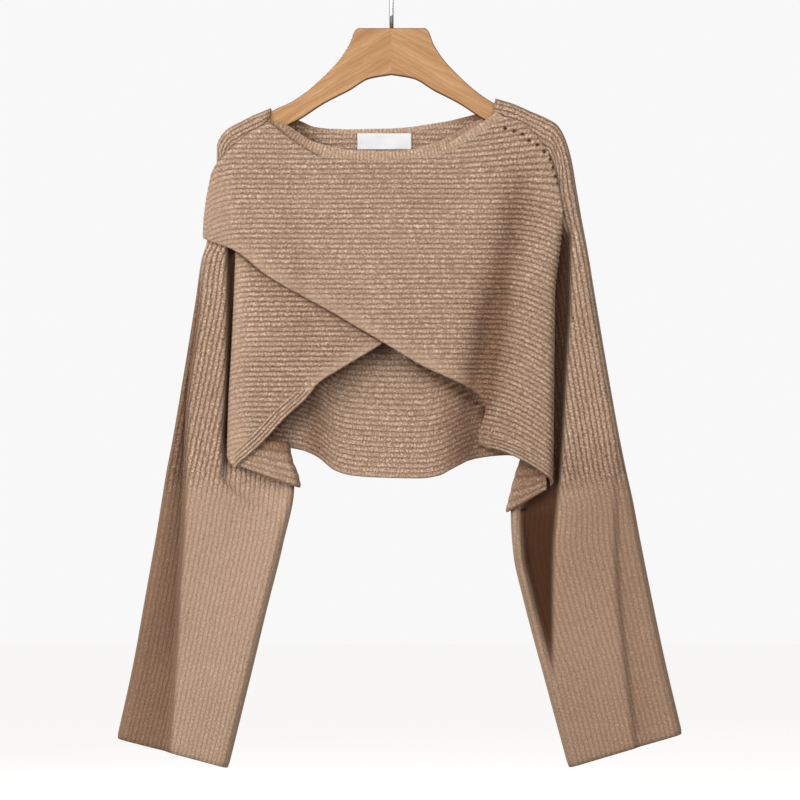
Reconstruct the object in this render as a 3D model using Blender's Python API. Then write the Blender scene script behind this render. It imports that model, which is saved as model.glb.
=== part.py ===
"""An asymmetric rib-knit sweater with two crossed fronts, hanging on a flat wooden hanger.

Sizes are in millimetres and become metres when a mesh is made. X runs to the viewer's right,
Z up, and the viewer looks along +Y, so the fronts lie at negative Y and the hanger's mid plane
is Y = 0. The origin is the inner top of the hook's wire, where a rail would carry it.
"""

import math

import bmesh
import bpy
import numpy as np

# ---------------------------------------------------------------- driving sizes, mm
MM = 0.001
WALL = 2.6              # thickness of the knit
RIB = 1.3               # height of a rib over the knit
RIB_PITCH = 7.4         # from rib to rib on fronts and back
SLEEVE_RIB_PITCH = 7.2
SEAM = 0.35             # air between sewn pieces
LAYER = 5.2             # from the lower front's middle to the upper front's middle
LAP_LAYER = 3.1         # the same along the upper front's sewn edges
HANGER_HALF = 7.0       # half of the wood's thickness
DEPTH_TOP = 10.8        # middle of a front or back from the hanger's plane, at the shoulders
DEPTH_LOW = 17.4        # and from the waist down
BAND_GAP = 0.65         # between a neck edge and the strip that stands on it
EDGE_FADE = 9.0         # ribs run out over this width beside an edge
SEAM_PLAIN = 4.0        # a sleeve is plain this far from its seam, where a front laps over it
INNER_ROWS = 8          # rows of the outer face to one row of the plain inner face


def table(columns, *rows):
    """Rows of numbers under named columns: one array for each name."""
    return dict(zip(columns.split(), np.array(rows, float).T))


# ---------------------------------------------------------------- outlines seen from the front, mm
# Edge of the upper front from the left shoulder, round the left sleeve, down the slanted edge
# to the lower right corner. Left of the fold, q counts along the cloth round the sleeve.
OVER_LEFT = table(
    "q z",
    (-146, -197), (-170, -209), (-185, -221), (-196, -231.5), (-205, -240.5), (-216, -250),
    (-228, -262), (-235, -280), (-239, -305), (-241, -325), (-239, -334), (-222, -339),
    (-187, -352), (-151, -380), (-67, -428), (26, -483.5), (113, -541),
    (107.5, -561), (104, -575), (106, -583), (113.5, -587.3),
)
OVER_RIGHT = table(
    "q z",
    (134, -190), (148, -194.5), (167.5, -207.5), (179.5, -221), (189, -236.5), (194, -248.5),
    (198.5, -264), (202, -284.5), (205.5, -305),
)
OVER_NECK = table(
    "q z",
    (-146, -197), (-122, -216), (-98, -231.5), (-84, -238.5), (-62, -240.3), (-41, -241.4),
    (-14, -242), (12, -241.2), (28, -240.2), (51, -238.3), (71, -231.9), (92, -218.9),
    (109, -208.7), (126, -197), (134, -190),
)
UNDER_NECK = table(
    "q z",
    (-143.5, -203.5), (-130, -211.5), (-118, -220), (-98, -232), (-80, -237), (-66, -240.3),
    (-42, -243.6), (0, -245), (29, -241.6), (45, -236.7), (63, -230.3), (79.5, -222.2),
    (95, -212.8), (108, -205.5), (117.5, -199.5),
)
BACK_NECK = table(
    "q z",
    (-126, -196.2), (-113.5, -199.1), (-96, -206.5), (-78, -209.2), (-54, -210.2),
    (-14, -209.8), (25, -207.1), (46, -203.7), (68, -200.4), (88.5, -195.4), (102, -191.9),
)
# Fold lines at the sides of the body, and how far the cloth turns back there.
OVER_FOLD_LEFT = table("z x", (-245, -215), (-264, -219), (-290, -224), (-314, -227), (-338, -228))
OVER_FOLD_RIGHT = table(
    "z x", (-290, 220), (-305, 214), (-318, 208), (-332, 205.5), (-355, 202), (-389, 197.5),
    (-402, 196.5), (-640, 194),
)
UNDER_FOLD_LEFT = table(
    "z x", (-290, -216), (-318, -203), (-353, -189), (-443, -192.5), (-497, -195.5),
    (-530, -197.5), (-625, -200),
)
# The lower front's slanted edge, flat place and height, from the right armhole to the lower left.
UNDER_EDGE = [
    (192, -330), (150, -358), (70, -408), (-11, -463), (-67, -497), (-87, -510),
    (-101, -528), (-127, -552), (-156, -583), (-187, -610.8),
]
UNDER_BOTTOM = -610.8
BACK_HEM = table(
    "q z",
    (-196, -574), (-156, -583.5), (-108, -591), (-91, -598), (-67, -616), (-48, -621.5), (-15, -624),
    (34, -625), (56, -622), (76, -612), (98, -602), (141, -597), (155, -599), (193, -607),
)
BACK_HEM_LEVEL = -599.0
# Strips along the neck of the upper front, the lower front and the back, each between two flat
# places: width, and how far its cut leans at each end, from its foot to its top.
NECK_BANDS = table(
    "start end width first_q first_z last_q last_z",
    (-62, 133, 9.0, -3.0, 8.5, -8.4, 5.3),
    (-142, 116, 11.5, -2.0, 10.0, -6.0, 9.0),
    (-143, 118, 5.0, 0.0, 5.0, -1.5, 4.8),
)
BAND_TURN = 18.0        # over which a strip's ribs turn to line up with its end
# Soft folds of the body, each along a line: height over the cloth is positive for a ridge.
FRONT_FOLDS = table(
    "x1 z1 x2 z2 width height",
    (172, -300, 88, -560, 26, -1.8),
    (176, -340, 128, -600, 18, 1.4),
    (-108, -390, -106, -590, 18, -2.4),
    (-150, -430, -174, -600, 16, 1.6),
    (-190, -260, -40, -420, 26, 1.0),
    (40, -260, 20, -470, 28, -0.8),
)
BACK_FOLDS = table(
    "x1 z1 x2 z2 width height",
    (-96, -470, -88, -640, 11, -4.2),
    (-60, -440, -62, -640, 15, 2.6),
    (120, -360, 84, -640, 16, 3.2),
    (152, -330, 128, -610, 12, -3.4),
    (-150, -300, -128, -560, 17, 2.6),
    (20, -300, 10, -560, 24, -1.8),
    (196, -280, 188, -680, 9, -6.0),
    (-190, -280, -193, -660, 9, -6.0),
)

# ---------------------------------------------------------------- sleeves, a row for each section
# o is the outer edge seen from the front, i the seam with the body or the inner edge. step is
# where the front face turns back into the fold beside the body, recess how deep that fold is,
# ridge and drop the long fold on the front face, nose the rounding of the outer edge, thin the
# share of the depth missing towards the inner edge, plain is 1 where the ribs are left flat under
# another piece, and closed is 1 where the sleeve is a tube.
SLEEVE_COLUMNS = "ox oz ix iz step recess ridge drop nose thin plain closed"
SLEEVE_LEFT = table(
    SLEEVE_COLUMNS,
    (-144.5, -180.8, -147.5, -193.5, -100, 0, -200, 0, 9, 0, 1, 0),
    (-165.5, -189.5, -167.0, -212.0, -100, 0, -200, 0, 10, 0, 0, 0),
    (-180.5, -197.0, -183.0, -225.5, -100, 0, -205, 0, 11, 0, 0, 0),
    (-198.5, -207.5, -194.0, -237.5, -100, 0, -210, 0, 11, 0, 0, 0),
    (-208.5, -225.5, -197.5, -250.0, -100, 0, -215, 0, 10, 0, 1, 0),
    (-208.8, -247.5, -196.0, -265.0, -180, 0, -225, 0, 7, 0, 1, 0),
    (-214.5, -275.0, -193.0, -287.0, -190, 0, -228, 0, 7, 0, 1, 0),
    (-219.0, -312.0, -186.5, -318.0, -196, 6, -230, 0, 9, 0, 1, 0),
    (-219.5, -341.0, -183.0, -344.0, -199, 12, -222, 4, 11, 0, 1, 0),
    (-226.5, -360.0, -183.5, -362.0, -200, 13, -224, 3, 7, 0, 0, 0),
    (-234.0, -410.0, -185.0, -411.0, -200, 13, -225, 7, 8, 0, 0, 0),
    (-253.5, -530.0, -191.5, -530.0, -203, 13, -238, 11, 8, 0, 0, 0),
    (-262.5, -582.0, -193.0, -584.0, -206, 13, -241, 12, 8, 0, 0, 0),
    (-269.0, -616.0, -117.5, -631.0, -206, 9, -242, 13, 8, 0.40, 0, 1),
    (-281.0, -690.0, -131.5, -704.0, -100, 0, -245, 13, 10, 0, 0, 1),
    (-294.5, -766.0, -150.5, -780.0, -100, 0, -250, 13, 10, 0, 0, 1),
    (-308.0, -842.0, -169.0, -857.0, -100, 0, -254, 12, 11, 0, 0, 1),
    (-328.5, -936.3, -197.0, -971.5, -100, 0, -262, 8, 10, 0, 0, 1),
)
SLEEVE_RIGHT = table(
    SLEEVE_COLUMNS,
    (124.5, -169.3, 123.0, -184.5, 80, 0, 240, 0, 9, 0, 1, 0),
    (146.0, -175.8, 149.5, -199.0, 80, 0, 240, 0, 10, 0, 0, 0),
    (166.0, -184.5, 168.5, -212.0, 80, 0, 240, 0, 12, 0, 0, 0),
    (183.5, -192.0, 179.5, -225.5, 80, 0, 240, 0, 12, 0, 0, 0),
    (198.0, -200.5, 188.5, -241.0, 80, 0, 250, 0, 12, 0, 0, 0),
    (207.0, -215.5, 193.0, -253.0, 80, 0, 260, 0, 11, 0, 0, 0),
    (215.0, -242.0, 196.5, -268.0, 150, 0, 270, 0, 10, 0, 0, 0),
    (221.0, -277.0, 198.0, -286.5, 190, 0, 280, 0, 8, 0, 0, 0),
    (227.0, -312.0, 200.0, -312.0, 219, 2, 285, 0, 8, 0, 0, 0),
    (234.5, -352.0, 195.5, -352.0, 216, 12, 290, 0, 8, 0, 0, 0),
    (242.0, -398.0, 190.0, -398.0, 213, 14, 295, 0, 9, 0, 0, 0),
    (258.5, -496.0, 188.5, -496.0, 207, 15, 262, 0, 9, 0, 0, 0),
    (272.0, -572.0, 188.0, -572.0, 206, 15, 265, 1, 9, 0, 0, 0),
    (280.0, -612.0, 187.5, -616.0, 204, 15, 266, 2, 9, 0, 0, 0),
    (288.5, -650.0, 144.0, -664.0, 201, 8, 268, 3, 9, 0.45, 0, 1),
    (297.5, -698.0, 147.5, -716.0, 197, 15, 268, 4, 10, 0, 0, 1),
    (307.0, -746.0, 158.5, -766.0, 196, 12, 270, 5, 10, 0, 0, 1),
    (327.0, -842.0, 184.5, -864.0, 196, 5, 282, 5, 11, 0, 0, 1),
    (348.0, -931.0, 213.5, -971.0, 196, 0, 296, 3, 10, 0, 0, 1),
)
RIDGE_WIDTH = 9.0       # over which the long fold of a sleeve drops
STEP_WIDTH = 6.0        # over which a sleeve turns back beside the body
INNER_NOSE = 9.0        # rounding of a sleeve's inner edge
THIN_OUT, THIN_OVER = 80.0, 50.0    # where a sleeve begins to thin, and over what width
BACK_TROUGH = 0.45      # share of a sleeve's long fold that its back has, as a soft trough

# ---------------------------------------------------------------- side gussets, top row to bottom row
# x_out and z_out are where the piece meets the body's side, x_fold and z_fold its fold under the
# arm. Its front lies out mm before the hanger's plane at the body's side and front mm at the fold,
# and back is how far behind that plane it ends.
GUSSET_COLUMNS = "x_out z_out x_fold z_fold out front back"
GUSSET_LEFT = table(
    GUSSET_COLUMNS,
    (-186, -580, -123, -588, 11.0, 10.0, 12.4),
    (-186, -590, -119, -603, 12.0, 12.0, 12.8),
    (-186, -600, -112, -621, 12.8, 16.0, 16.0),
    (-186, -609, -109, -636, 13.0, 20.8, 19.5),
)
GUSSET_RIGHT = table(
    GUSSET_COLUMNS,
    (186, -606, 157, -596, 8.0, 8.0, 11.0),
    (186, -617, 149, -619, 9.0, 10.0, 12.9),
    (186, -629, 142, -646, 10.0, 12.6, 14.5),
    (186, -638, 137, -666, 11.0, 14.6, 16.0),
)
GUSSET_TURN = 8.0       # rounding of a gusset at its fold, along x
GUSSET_BACK = 16.0      # width of the part that goes back behind the fold

# ---------------------------------------------------------------- hanger and hook, right half, mm
HANGER_TOP = table(
    "x z",
    (40.5, -84), (43.5, -86.5), (50.5, -103), (62, -121), (79, -139.5), (100, -158.5),
    (122, -173.5), (140, -181.6), (149, -187.5), (167, -198), (178, -205), (186, -214), (189.5, -222),
)
HANGER_UNDER = table(
    "x z",
    (189, -231), (178, -229), (156, -217), (120, -198.5), (111.5, -194), (80.5, -174),
    (50.5, -158.5), (26.5, -144.5), (0, -139.8),
)
HANGER_EDGE = 1.6       # rounding of the wood's edges
HOOK_WIRE = 2.5         # radius of the wire
HOOK_INNER = 19.0       # inner radius of the hook
HOOK_BEND = 8.0         # radius of the bend over the stem
HOOK_TIP_DEGREES = -22.0
HOOK_SIDES = 8          # flats round the wire
WOOD_TOP = -84.0

LABEL_LEFT, LABEL_RIGHT = -41.0, 24.0
LABEL_TOP, LABEL_BOTTOM = -209.5, -229.0
LABEL_WALL = 0.8


# ---------------------------------------------------------------- small helpers
def smooth(t):
    """0 below 0, 1 above 1, an even slope between."""
    t = np.clip(t, 0.0, 1.0)
    return t * t * (3.0 - 2.0 * t)


def at(path, key, value, want):
    """Read column want of a path where column key, which falls along the path, has value."""
    return np.interp(-np.asarray(value, float), -path[key], path[want])


def folds(rows, x, z):
    """Sum of soft ridges and troughs, each fading at both ends of its line."""
    total = np.zeros(np.broadcast(x, z).shape)
    for x1, z1, x2, z2, width, height in zip(*rows.values()):
        dx, dz = x2 - x1, z2 - z1
        along = ((x - x1) * dx + (z - z1) * dz) / (dx * dx + dz * dz)
        off = ((x - x1) * dz - (z - z1) * dx) / math.hypot(dx, dz)
        ends = smooth(along / 0.3) * smooth((1.0 - along) / 0.12)
        total = total + height * np.exp(-(off / width) ** 2) * ends
    return total


def hang_depth(z):
    """How far the cloth's middle hangs from the hanger's plane at height z."""
    return DEPTH_TOP + (DEPTH_LOW - DEPTH_TOP) * smooth((-190.0 - z) / 210.0)


def front_depth(x, z):
    return hang_depth(z) + folds(FRONT_FOLDS, x, z)


def back_depth(x, z):
    return hang_depth(z) + folds(BACK_FOLDS, x, z)


# ---------------------------------------------------------------- meshes
def material(name, colour, roughness, metallic=0.0):
    mat = bpy.data.materials.new(name)
    mat.use_nodes = True
    shader = mat.node_tree.nodes["Principled BSDF"]
    shader.inputs["Base Color"].default_value = (*colour, 1.0)
    shader.inputs["Roughness"].default_value = roughness
    shader.inputs["Metallic"].default_value = metallic
    return mat


def add_object(name, points, faces, mat):
    """Make an object from millimetre points, its faces turned outwards."""
    mesh = bpy.data.meshes.new(name)
    mesh.from_pydata([tuple(MM * c for c in p) for p in points], [], faces)
    mesh.materials.append(mat)
    bm = bmesh.new()
    bm.from_mesh(mesh)
    if bm.calc_volume(signed=True) < 0:
        bmesh.ops.reverse_faces(bm, faces=bm.faces[:])
    bm.to_mesh(mesh)
    bm.free()
    mesh.shade_smooth()
    mesh.set_sharp_from_angle(angle=math.radians(30))
    obj = bpy.data.objects.new(name, mesh)
    bpy.context.collection.objects.link(obj)
    return obj


class Wall:
    """A closed wall of cloth from patches, each a ribbed outer grid over a sparser inner grid."""

    def __init__(self):
        self.points = []
        self.known = {}
        self.faces = []
        self.rims = {}

    def index(self, side, point):
        key = (side, *(round(float(c), 3) for c in point))
        if key not in self.known:
            self.known[key] = len(self.points)
            self.points.append(tuple(float(c) for c in point))
        return self.known[key]

    def add_face(self, loop):
        kept = [v for i, v in enumerate(loop) if v != loop[i - 1]]
        if len(set(kept)) == len(kept) and len(kept) > 2:
            self.faces.append(kept)

    def add_rim(self, loop):
        kept = [v for i, v in enumerate(loop) if v != loop[i - 1]]
        key = frozenset(kept)
        if len(key) < 3:
            return
        if key in self.rims:
            del self.rims[key]
        else:
            self.rims[key] = kept

    def add_patch(self, outer, inner, rows, columns):
        """outer and inner are full grids; the inner face uses only the given rows and columns."""
        last_row, last_column = outer.shape[0] - 1, outer.shape[1] - 1
        o = [[self.index("outer", p) for p in line] for line in outer]
        n = {(r, c): self.index("inner", inner[r, c]) for r in rows for c in columns}
        for r in range(last_row):
            for c in range(last_column):
                self.add_face([o[r][c], o[r][c + 1], o[r + 1][c + 1], o[r + 1][c]])
        for r0, r1 in zip(rows, rows[1:]):
            for c0, c1 in zip(columns, columns[1:]):
                self.add_face([n[r0, c0], n[r1, c0], n[r1, c1], n[r0, c1]])
            down = range(r0, r1 + 1)
            self.add_rim([o[r][0] for r in down] + [n[r1, 0], n[r0, 0]])
            last = last_column
            self.add_rim([o[r][last] for r in reversed(down)] + [n[r0, last], n[r1, last]])
        for c0, c1 in zip(columns, columns[1:]):
            across = range(c0, c1 + 1)
            self.add_rim([o[0][c] for c in reversed(across)] + [n[0, c0], n[0, c1]])
            last = last_row
            self.add_rim([o[last][c] for c in across] + [n[last, c1], n[last, c0]])

    def finish(self, name, mat):
        return add_object(name, self.points, self.faces + list(self.rims.values()), mat)


def wall_sides(surface, q, z, rib, facing):
    """Outer and inner points of a wall about surface(q, z); facing is -1 for a back."""
    step = 0.25
    across = surface(q + step, z) - surface(q - step, z)
    up = surface(q, z + step) - surface(q, z - step)
    normal = np.cross(across, up) * facing
    normal = normal / np.linalg.norm(normal, axis=-1, keepdims=True)
    middle = surface(q, z)
    outer = middle + normal * (WALL / 2 + rib)[..., None]
    return outer, middle - normal * (WALL / 2)


# ---------------------------------------------------------------- rows of ribs across a panel
def levels_of(tilt, path):
    """Rib level of each point of a path: the height its rib has where the row is level."""
    level = path["z"].copy()
    for _ in range(12):
        level = path["z"] - tilt(path["q"], level)
    return {"level": level, **path}


def neck_sides(neck):
    """The neck edge as a left and a right path, both from the shoulder down to the lowest point."""
    low = int(np.argmin(neck["level"]))
    left = {name: column[:low + 1] for name, column in neck.items()}
    right = {name: column[low:][::-1] for name, column in neck.items()}
    return left, right


def row_levels(top, middle, bottom, plain_above):
    """Levels from top to bottom, one of them at middle, and 1 for each that is the top of a rib.

    Above plain_above the panel is covered by another, so its rows are sparse and plain.
    """
    pitch = RIB_PITCH / 2
    above = max(1, int((top - middle) / pitch - 0.4))
    upper = [middle + pitch * k for k in range(above, 0, -1)]
    count = max(1, round((middle - bottom) / pitch))
    lower = [middle - (middle - bottom) * k / count for k in range(count + 1)]
    levels = np.array([top] + upper + lower)
    order = np.arange(len(levels)) - (above + 1)
    ribbed = (np.abs(order) % 2) * (levels < plain_above)
    covered = (levels > plain_above + pitch) & (levels < middle - pitch / 2)
    kept = ~covered | (np.abs(order) % 4 == 0)
    return levels[kept], ribbed[kept].astype(float)


def spread(start, end, count, beads):
    """Places from start to end: beads are set distances from the start, the rest is even."""
    scale = min(1.0, abs(end - start) / (1.5 * beads[-1] + 20.0)) * math.copysign(1.0, end - start)
    head = [start + scale * d for d in beads]
    return np.array(head + list(np.linspace(head[-1], end, count + 1))[1:])


def inner_rows(levels, low, dense_above, step):
    """Rows of the plain inner face: all beside the neck, one in step at the sides, few below."""
    anchor = int(np.argmin(np.abs(levels - low)))
    last = len(levels) - 1
    rows = set()
    for r, level in enumerate(levels):
        every = 1 if level >= low else (step if level > dense_above else INNER_ROWS)
        if (r - anchor) % every == 0 and r < last - 1:
            rows.add(r)
    return sorted(rows | {0, anchor, last})


def panel_grids(tilt, left, right, neck, bottom, columns, beads, plain_above):
    """Flat places, heights and rib heights of a panel, as a left and a right grid.

    They meet on a middle line under the lowest point of the neck. beads is a pair: distances of
    the first columns from the left edge and from the right edge.
    """
    left, right, neck = (levels_of(tilt, path) for path in (left, right, neck))
    sides = neck_sides(neck)
    low = sides[0]["level"][-1]
    low_left, low_right = at(left, "level", low, "q"), at(right, "level", low, "q")
    share = (sides[0]["q"][-1] - low_left) / (low_right - low_left)
    grids = []
    for half in (0, 1):
        top = (left, right)[half]["level"][0]
        levels, on_rib = row_levels(top, low, bottom, plain_above)
        start, end = at(left, "level", levels, "q"), at(right, "level", levels, "q")
        middle = start + share * (end - start)
        middle = np.where(levels >= low, at(sides[half], "level", levels, "q"), middle)
        outer_edge = (start, end)[half]
        q = np.array([spread(e, m, columns[half], beads[half]) for e, m in zip(outer_edge, middle)])
        q = q[:, ::-1] if half else q
        level = np.repeat(levels[:, None], q.shape[1], axis=1)
        z = level + tilt(q, level)
        from_edge = np.minimum(q - start[:, None], end[:, None] - q)
        to_neck = np.where((levels >= low)[:, None], np.abs(q - middle[:, None]), np.inf)
        rib = RIB * on_rib[:, None] * smooth(np.minimum(from_edge, to_neck) / EDGE_FADE)
        grids.append({"q": q, "z": z, "rib": rib, "levels": levels, "low": low})
    return grids


def build_panel(name, mat, grids, surface, facing, dense_above, step):
    wall = Wall()
    for grid in grids:
        outer, inner = wall_sides(surface, grid["q"], grid["z"], grid["rib"], facing)
        rows = inner_rows(grid["levels"], grid["low"], dense_above, step)
        wall.add_patch(outer, inner, rows, list(range(grid["q"].shape[1])))
    return wall.finish(name, mat)


# ---------------------------------------------------------------- fronts and back
FOLD_ACROSS = 9.0       # half axis of the turn at a side fold, along x
FOLD_DEEP = 12.0        # and along y
OVER_TURN_DEEP = 18.0   # the same along y where the upper front turns round the left sleeve
EDGE_AIR = 1.2          # between a folded edge and the sleeve it rests on
HEM_TOP = -338.0        # the raised edge of the upper front's slanted hem begins here
HEM_BEAD = (1.0, 1.2, 0.0)          # height of that edge at its first points
CORD_PITCH = 4.7        # of the three strong ribs along the lower front's slanted edge
CORD_HEIGHTS = (0.0, 1.4, 0.0, 1.4, 0.0, 1.4, 0.4)  # at their points, the edge last
CORD_TOP, CORD_OVER = -470.0, 40.0  # where those ribs begin to rise, and over what height
COVERED_ABOVE = -352.0  # the lower front is plain above this, under the upper front
SHOULDERS_ABOVE = -345.0            # the fronts' inner faces are denser above this
BACK_DENSE_ABOVE = -410.0           # and the back's above this
# Distances of the first points from a panel's left and right edge.
OVER_BEADS = ((0.0, 3.3, 7.5, 14.0, 24.0), (0.0, 6.0, 14.0))
UNDER_BEADS = ((0.0, 5.0, 11.0), tuple(CORD_PITCH * k for k in range(len(CORD_HEIGHTS))))
BACK_BEADS = ((0.0, 8.0), (0.0, 8.0))


def fold_radius(deep):
    return math.sqrt((FOLD_ACROSS ** 2 + deep ** 2) / 2)


def over_tilt(q, level):
    """Ribs rise to the right shoulder, droop at both sides and follow the hem at the lower right."""
    rise = 16.0 * smooth((level + 290.0) / 90.0) * np.clip((q - 60.0) / 110.0, 0, 1.3) ** 1.5
    deeper = smooth((-290.0 - level) / 290.0)
    start = 150.0 - 45.0 * deeper
    droop = (10.0 * smooth((-250.0 - level) / 60.0) + 30.0 * deeper) \
        * np.clip((q - start) / (193.0 - start), 0, 1.15) ** 1.7
    left = 13.0 * smooth((-225.0 - level) / 40.0) * np.clip((-180.0 - q) / 45.0, 0, 1) ** 2
    return rise - droop - left


def over_layer(q, z):
    """Distance of the upper front from the lower one: less beside its sewn edges."""
    left_seam = np.interp(-z, -OVER_LEFT["z"][:11], OVER_LEFT["q"][:11])
    right_seam = np.interp(-z, -OVER_RIGHT["z"], OVER_RIGHT["q"])
    near_left = (1 - smooth((q - left_seam) / 14.0)) * (z > -300)
    near_right = (1 - smooth((right_seam - q) / 14.0)) * (1 - smooth((-275.0 - z) / 40.0))
    return LAYER - (LAYER - LAP_LAYER) * np.clip(np.maximum(near_left, near_right), 0, 1)


def over_flat(q, z):
    return front_depth(q, z) + over_layer(q, z)


def over_surface(q, z):
    """Middle of the upper front: flat over the body, round the left sleeve, folded at the right."""
    x, y = q.copy(), -over_flat(q, z)
    turn = at(OVER_FOLD_LEFT, "z", z, "x") + FOLD_ACROSS + WALL
    past = np.maximum(turn - q, 0.0)
    deep = over_flat(turn, z)
    angle = np.minimum(past / fold_radius(OVER_TURN_DEEP), math.pi)
    rest = past - angle * fold_radius(OVER_TURN_DEEP)
    wrapped = past > 0
    x = np.where(wrapped, turn - FOLD_ACROSS * np.sin(angle) + rest, x)
    y = np.where(wrapped, -deep * np.cos(angle), y)
    turn = at(OVER_FOLD_RIGHT, "z", z, "x") - FOLD_ACROSS - WALL / 2 - RIB
    past = np.maximum(q - turn, 0.0)
    radius = fold_radius(FOLD_DEEP)
    angle = np.minimum(past / radius, math.pi / 2)
    rest = past - angle * radius
    folded = past > 0
    x = np.where(folded, turn + FOLD_ACROSS * np.sin(angle), x)
    y = np.where(folded, -over_flat(turn, z) + FOLD_DEEP * (1 - np.cos(angle)) + rest, y)
    return np.stack([x, y, z], axis=-1)


def folded_edge(fold, side, depth, sleeve, heights):
    """Flat places of an edge that turns back at a side fold until it meets the sleeve under it."""
    rows = []
    for z in heights:
        turn = float(at(fold, "z", z, "x")) - side * (FOLD_ACROSS + WALL / 2 + RIB)
        floor = sleeve_floor(sleeve, turn + side * FOLD_ACROSS, z)
        deep = max(0.0, float(depth(np.array(turn), np.array(float(z)))) - floor)
        angle = math.acos(max(1.0 - deep / FOLD_DEEP, 0.0))
        turned = fold_radius(FOLD_DEEP) * angle + max(0.0, deep - FOLD_DEEP)
        rows.append((turn + side * turned, z))
    return rows


def sleeve_floor(sleeve, x, z):
    """Distance in front of the hanger's plane at which an edge rests on a sleeve's inner part."""
    recess = at(sleeve, "iz", z, "recess")
    return float(front_depth(np.array(x), np.array(float(z))) - recess + WALL / 2 + RIB + EDGE_AIR)


def seam_edge(sleeve, rows, side, air=0.6):
    """Flat places of an edge sewn to a sleeve, on the body's side of the seam."""
    return [(sleeve["ix"][r] - side * air, sleeve["iz"][r]) for r in range(rows)]


def neck_between(left, neck, right):
    """A neck edge from the top of the left seam to the top of the right one."""
    return {k: np.concatenate([left[k][:1], neck[k], right[k][:1]]) for k in ("q", "z")}


def build_over(mat):
    heights = (-318, -330, -355, -385, -430, -500, -560, -632)
    edge = folded_edge(OVER_FOLD_RIGHT, 1, over_flat, SLEEVE_RIGHT, heights)
    right = table("q z", *(list(zip(OVER_RIGHT["q"], OVER_RIGHT["z"])) + edge))
    bottom = float(levels_of(over_tilt, OVER_LEFT)["level"][-1])
    grids = panel_grids(over_tilt, OVER_LEFT, right, OVER_NECK, bottom, (2, 3), OVER_BEADS, 0.0)
    left, first = grids[0], len(HEM_BEAD)
    along_hem = left["z"][:, :first] < HEM_TOP
    left["rib"][:, :first] = np.where(along_hem, np.array(HEM_BEAD), left["rib"][:, :first])
    return build_panel("front_over", mat, grids, over_surface, 1.0, SHOULDERS_ABOVE, 2), grids


def under_tilt(q, level):
    """Ribs of the lower front droop a little at its left fold."""
    return -7.0 * smooth((-330.0 - level) / 60.0) * np.clip((-165.0 - q) / 35.0, 0, 1) ** 2


def under_surface(q, z):
    x, y = q.copy(), -front_depth(q, z)
    turn = at(UNDER_FOLD_LEFT, "z", z, "x") + FOLD_ACROSS + WALL / 2 + RIB
    past = np.maximum(turn - q, 0.0)
    radius = fold_radius(FOLD_DEEP)
    angle = np.minimum(past / radius, math.pi / 2)
    rest = past - angle * radius
    x = np.where(past > 0, turn - FOLD_ACROSS * np.sin(angle), x)
    y = np.where(past > 0, -front_depth(turn, z) + FOLD_DEEP * (1 - np.cos(angle)) + rest, y)
    return np.stack([x, y, z], axis=-1)


def build_under(mat):
    heights = (-344, -362, -411, -462, -530, -584, -598)
    edge = folded_edge(UNDER_FOLD_LEFT, -1, front_depth, SLEEVE_LEFT, heights)
    left = seam_edge(SLEEVE_LEFT, 8, -1, 1.2) + edge + [(-194.0, -606.0), (-187.5, -611.0)]
    left = table("q z", *left)
    right = table("q z", *(seam_edge(SLEEVE_RIGHT, 9, 1) + UNDER_EDGE))
    neck = neck_between(left, UNDER_NECK, right)
    grids = panel_grids(under_tilt, left, right, neck, UNDER_BOTTOM, (3, 2), UNDER_BEADS, COVERED_ABOVE)
    edge, count = grids[1], len(CORD_HEIGHTS)
    shown = smooth((CORD_TOP - edge["z"][:, -count:]) / CORD_OVER)
    edge["rib"][:, -count:] = edge["rib"][:, -count:] * (1 - shown) + np.array(CORD_HEIGHTS) * shown
    return build_panel("front_under", mat, grids, under_surface, 1.0, SHOULDERS_ABOVE, 1), grids


def back_tilt(q, level):
    """Ribs of the back follow its hem, less and less towards the top."""
    hem = np.interp(q, BACK_HEM["q"], BACK_HEM["z"])
    return smooth((-330.0 - level) / 260.0) * (hem - BACK_HEM_LEVEL)


def back_surface(q, z):
    return np.stack([q, back_depth(q, z), z], axis=-1)


def build_back(mat):
    left = seam_edge(SLEEVE_LEFT, 12, -1) + [(-192.0, -574.0)]
    right = seam_edge(SLEEVE_RIGHT, 13, 1) + [(187.0, -606.0)]
    left, right = table("q z", *left), table("q z", *right)
    neck = neck_between(left, BACK_NECK, right)
    grids = panel_grids(back_tilt, left, right, neck, BACK_HEM_LEVEL, (3, 4), BACK_BEADS, 0.0)
    return build_panel("back_panel", mat, grids, back_surface, -1.0, BACK_DENSE_ABOVE, 3), grids


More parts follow.
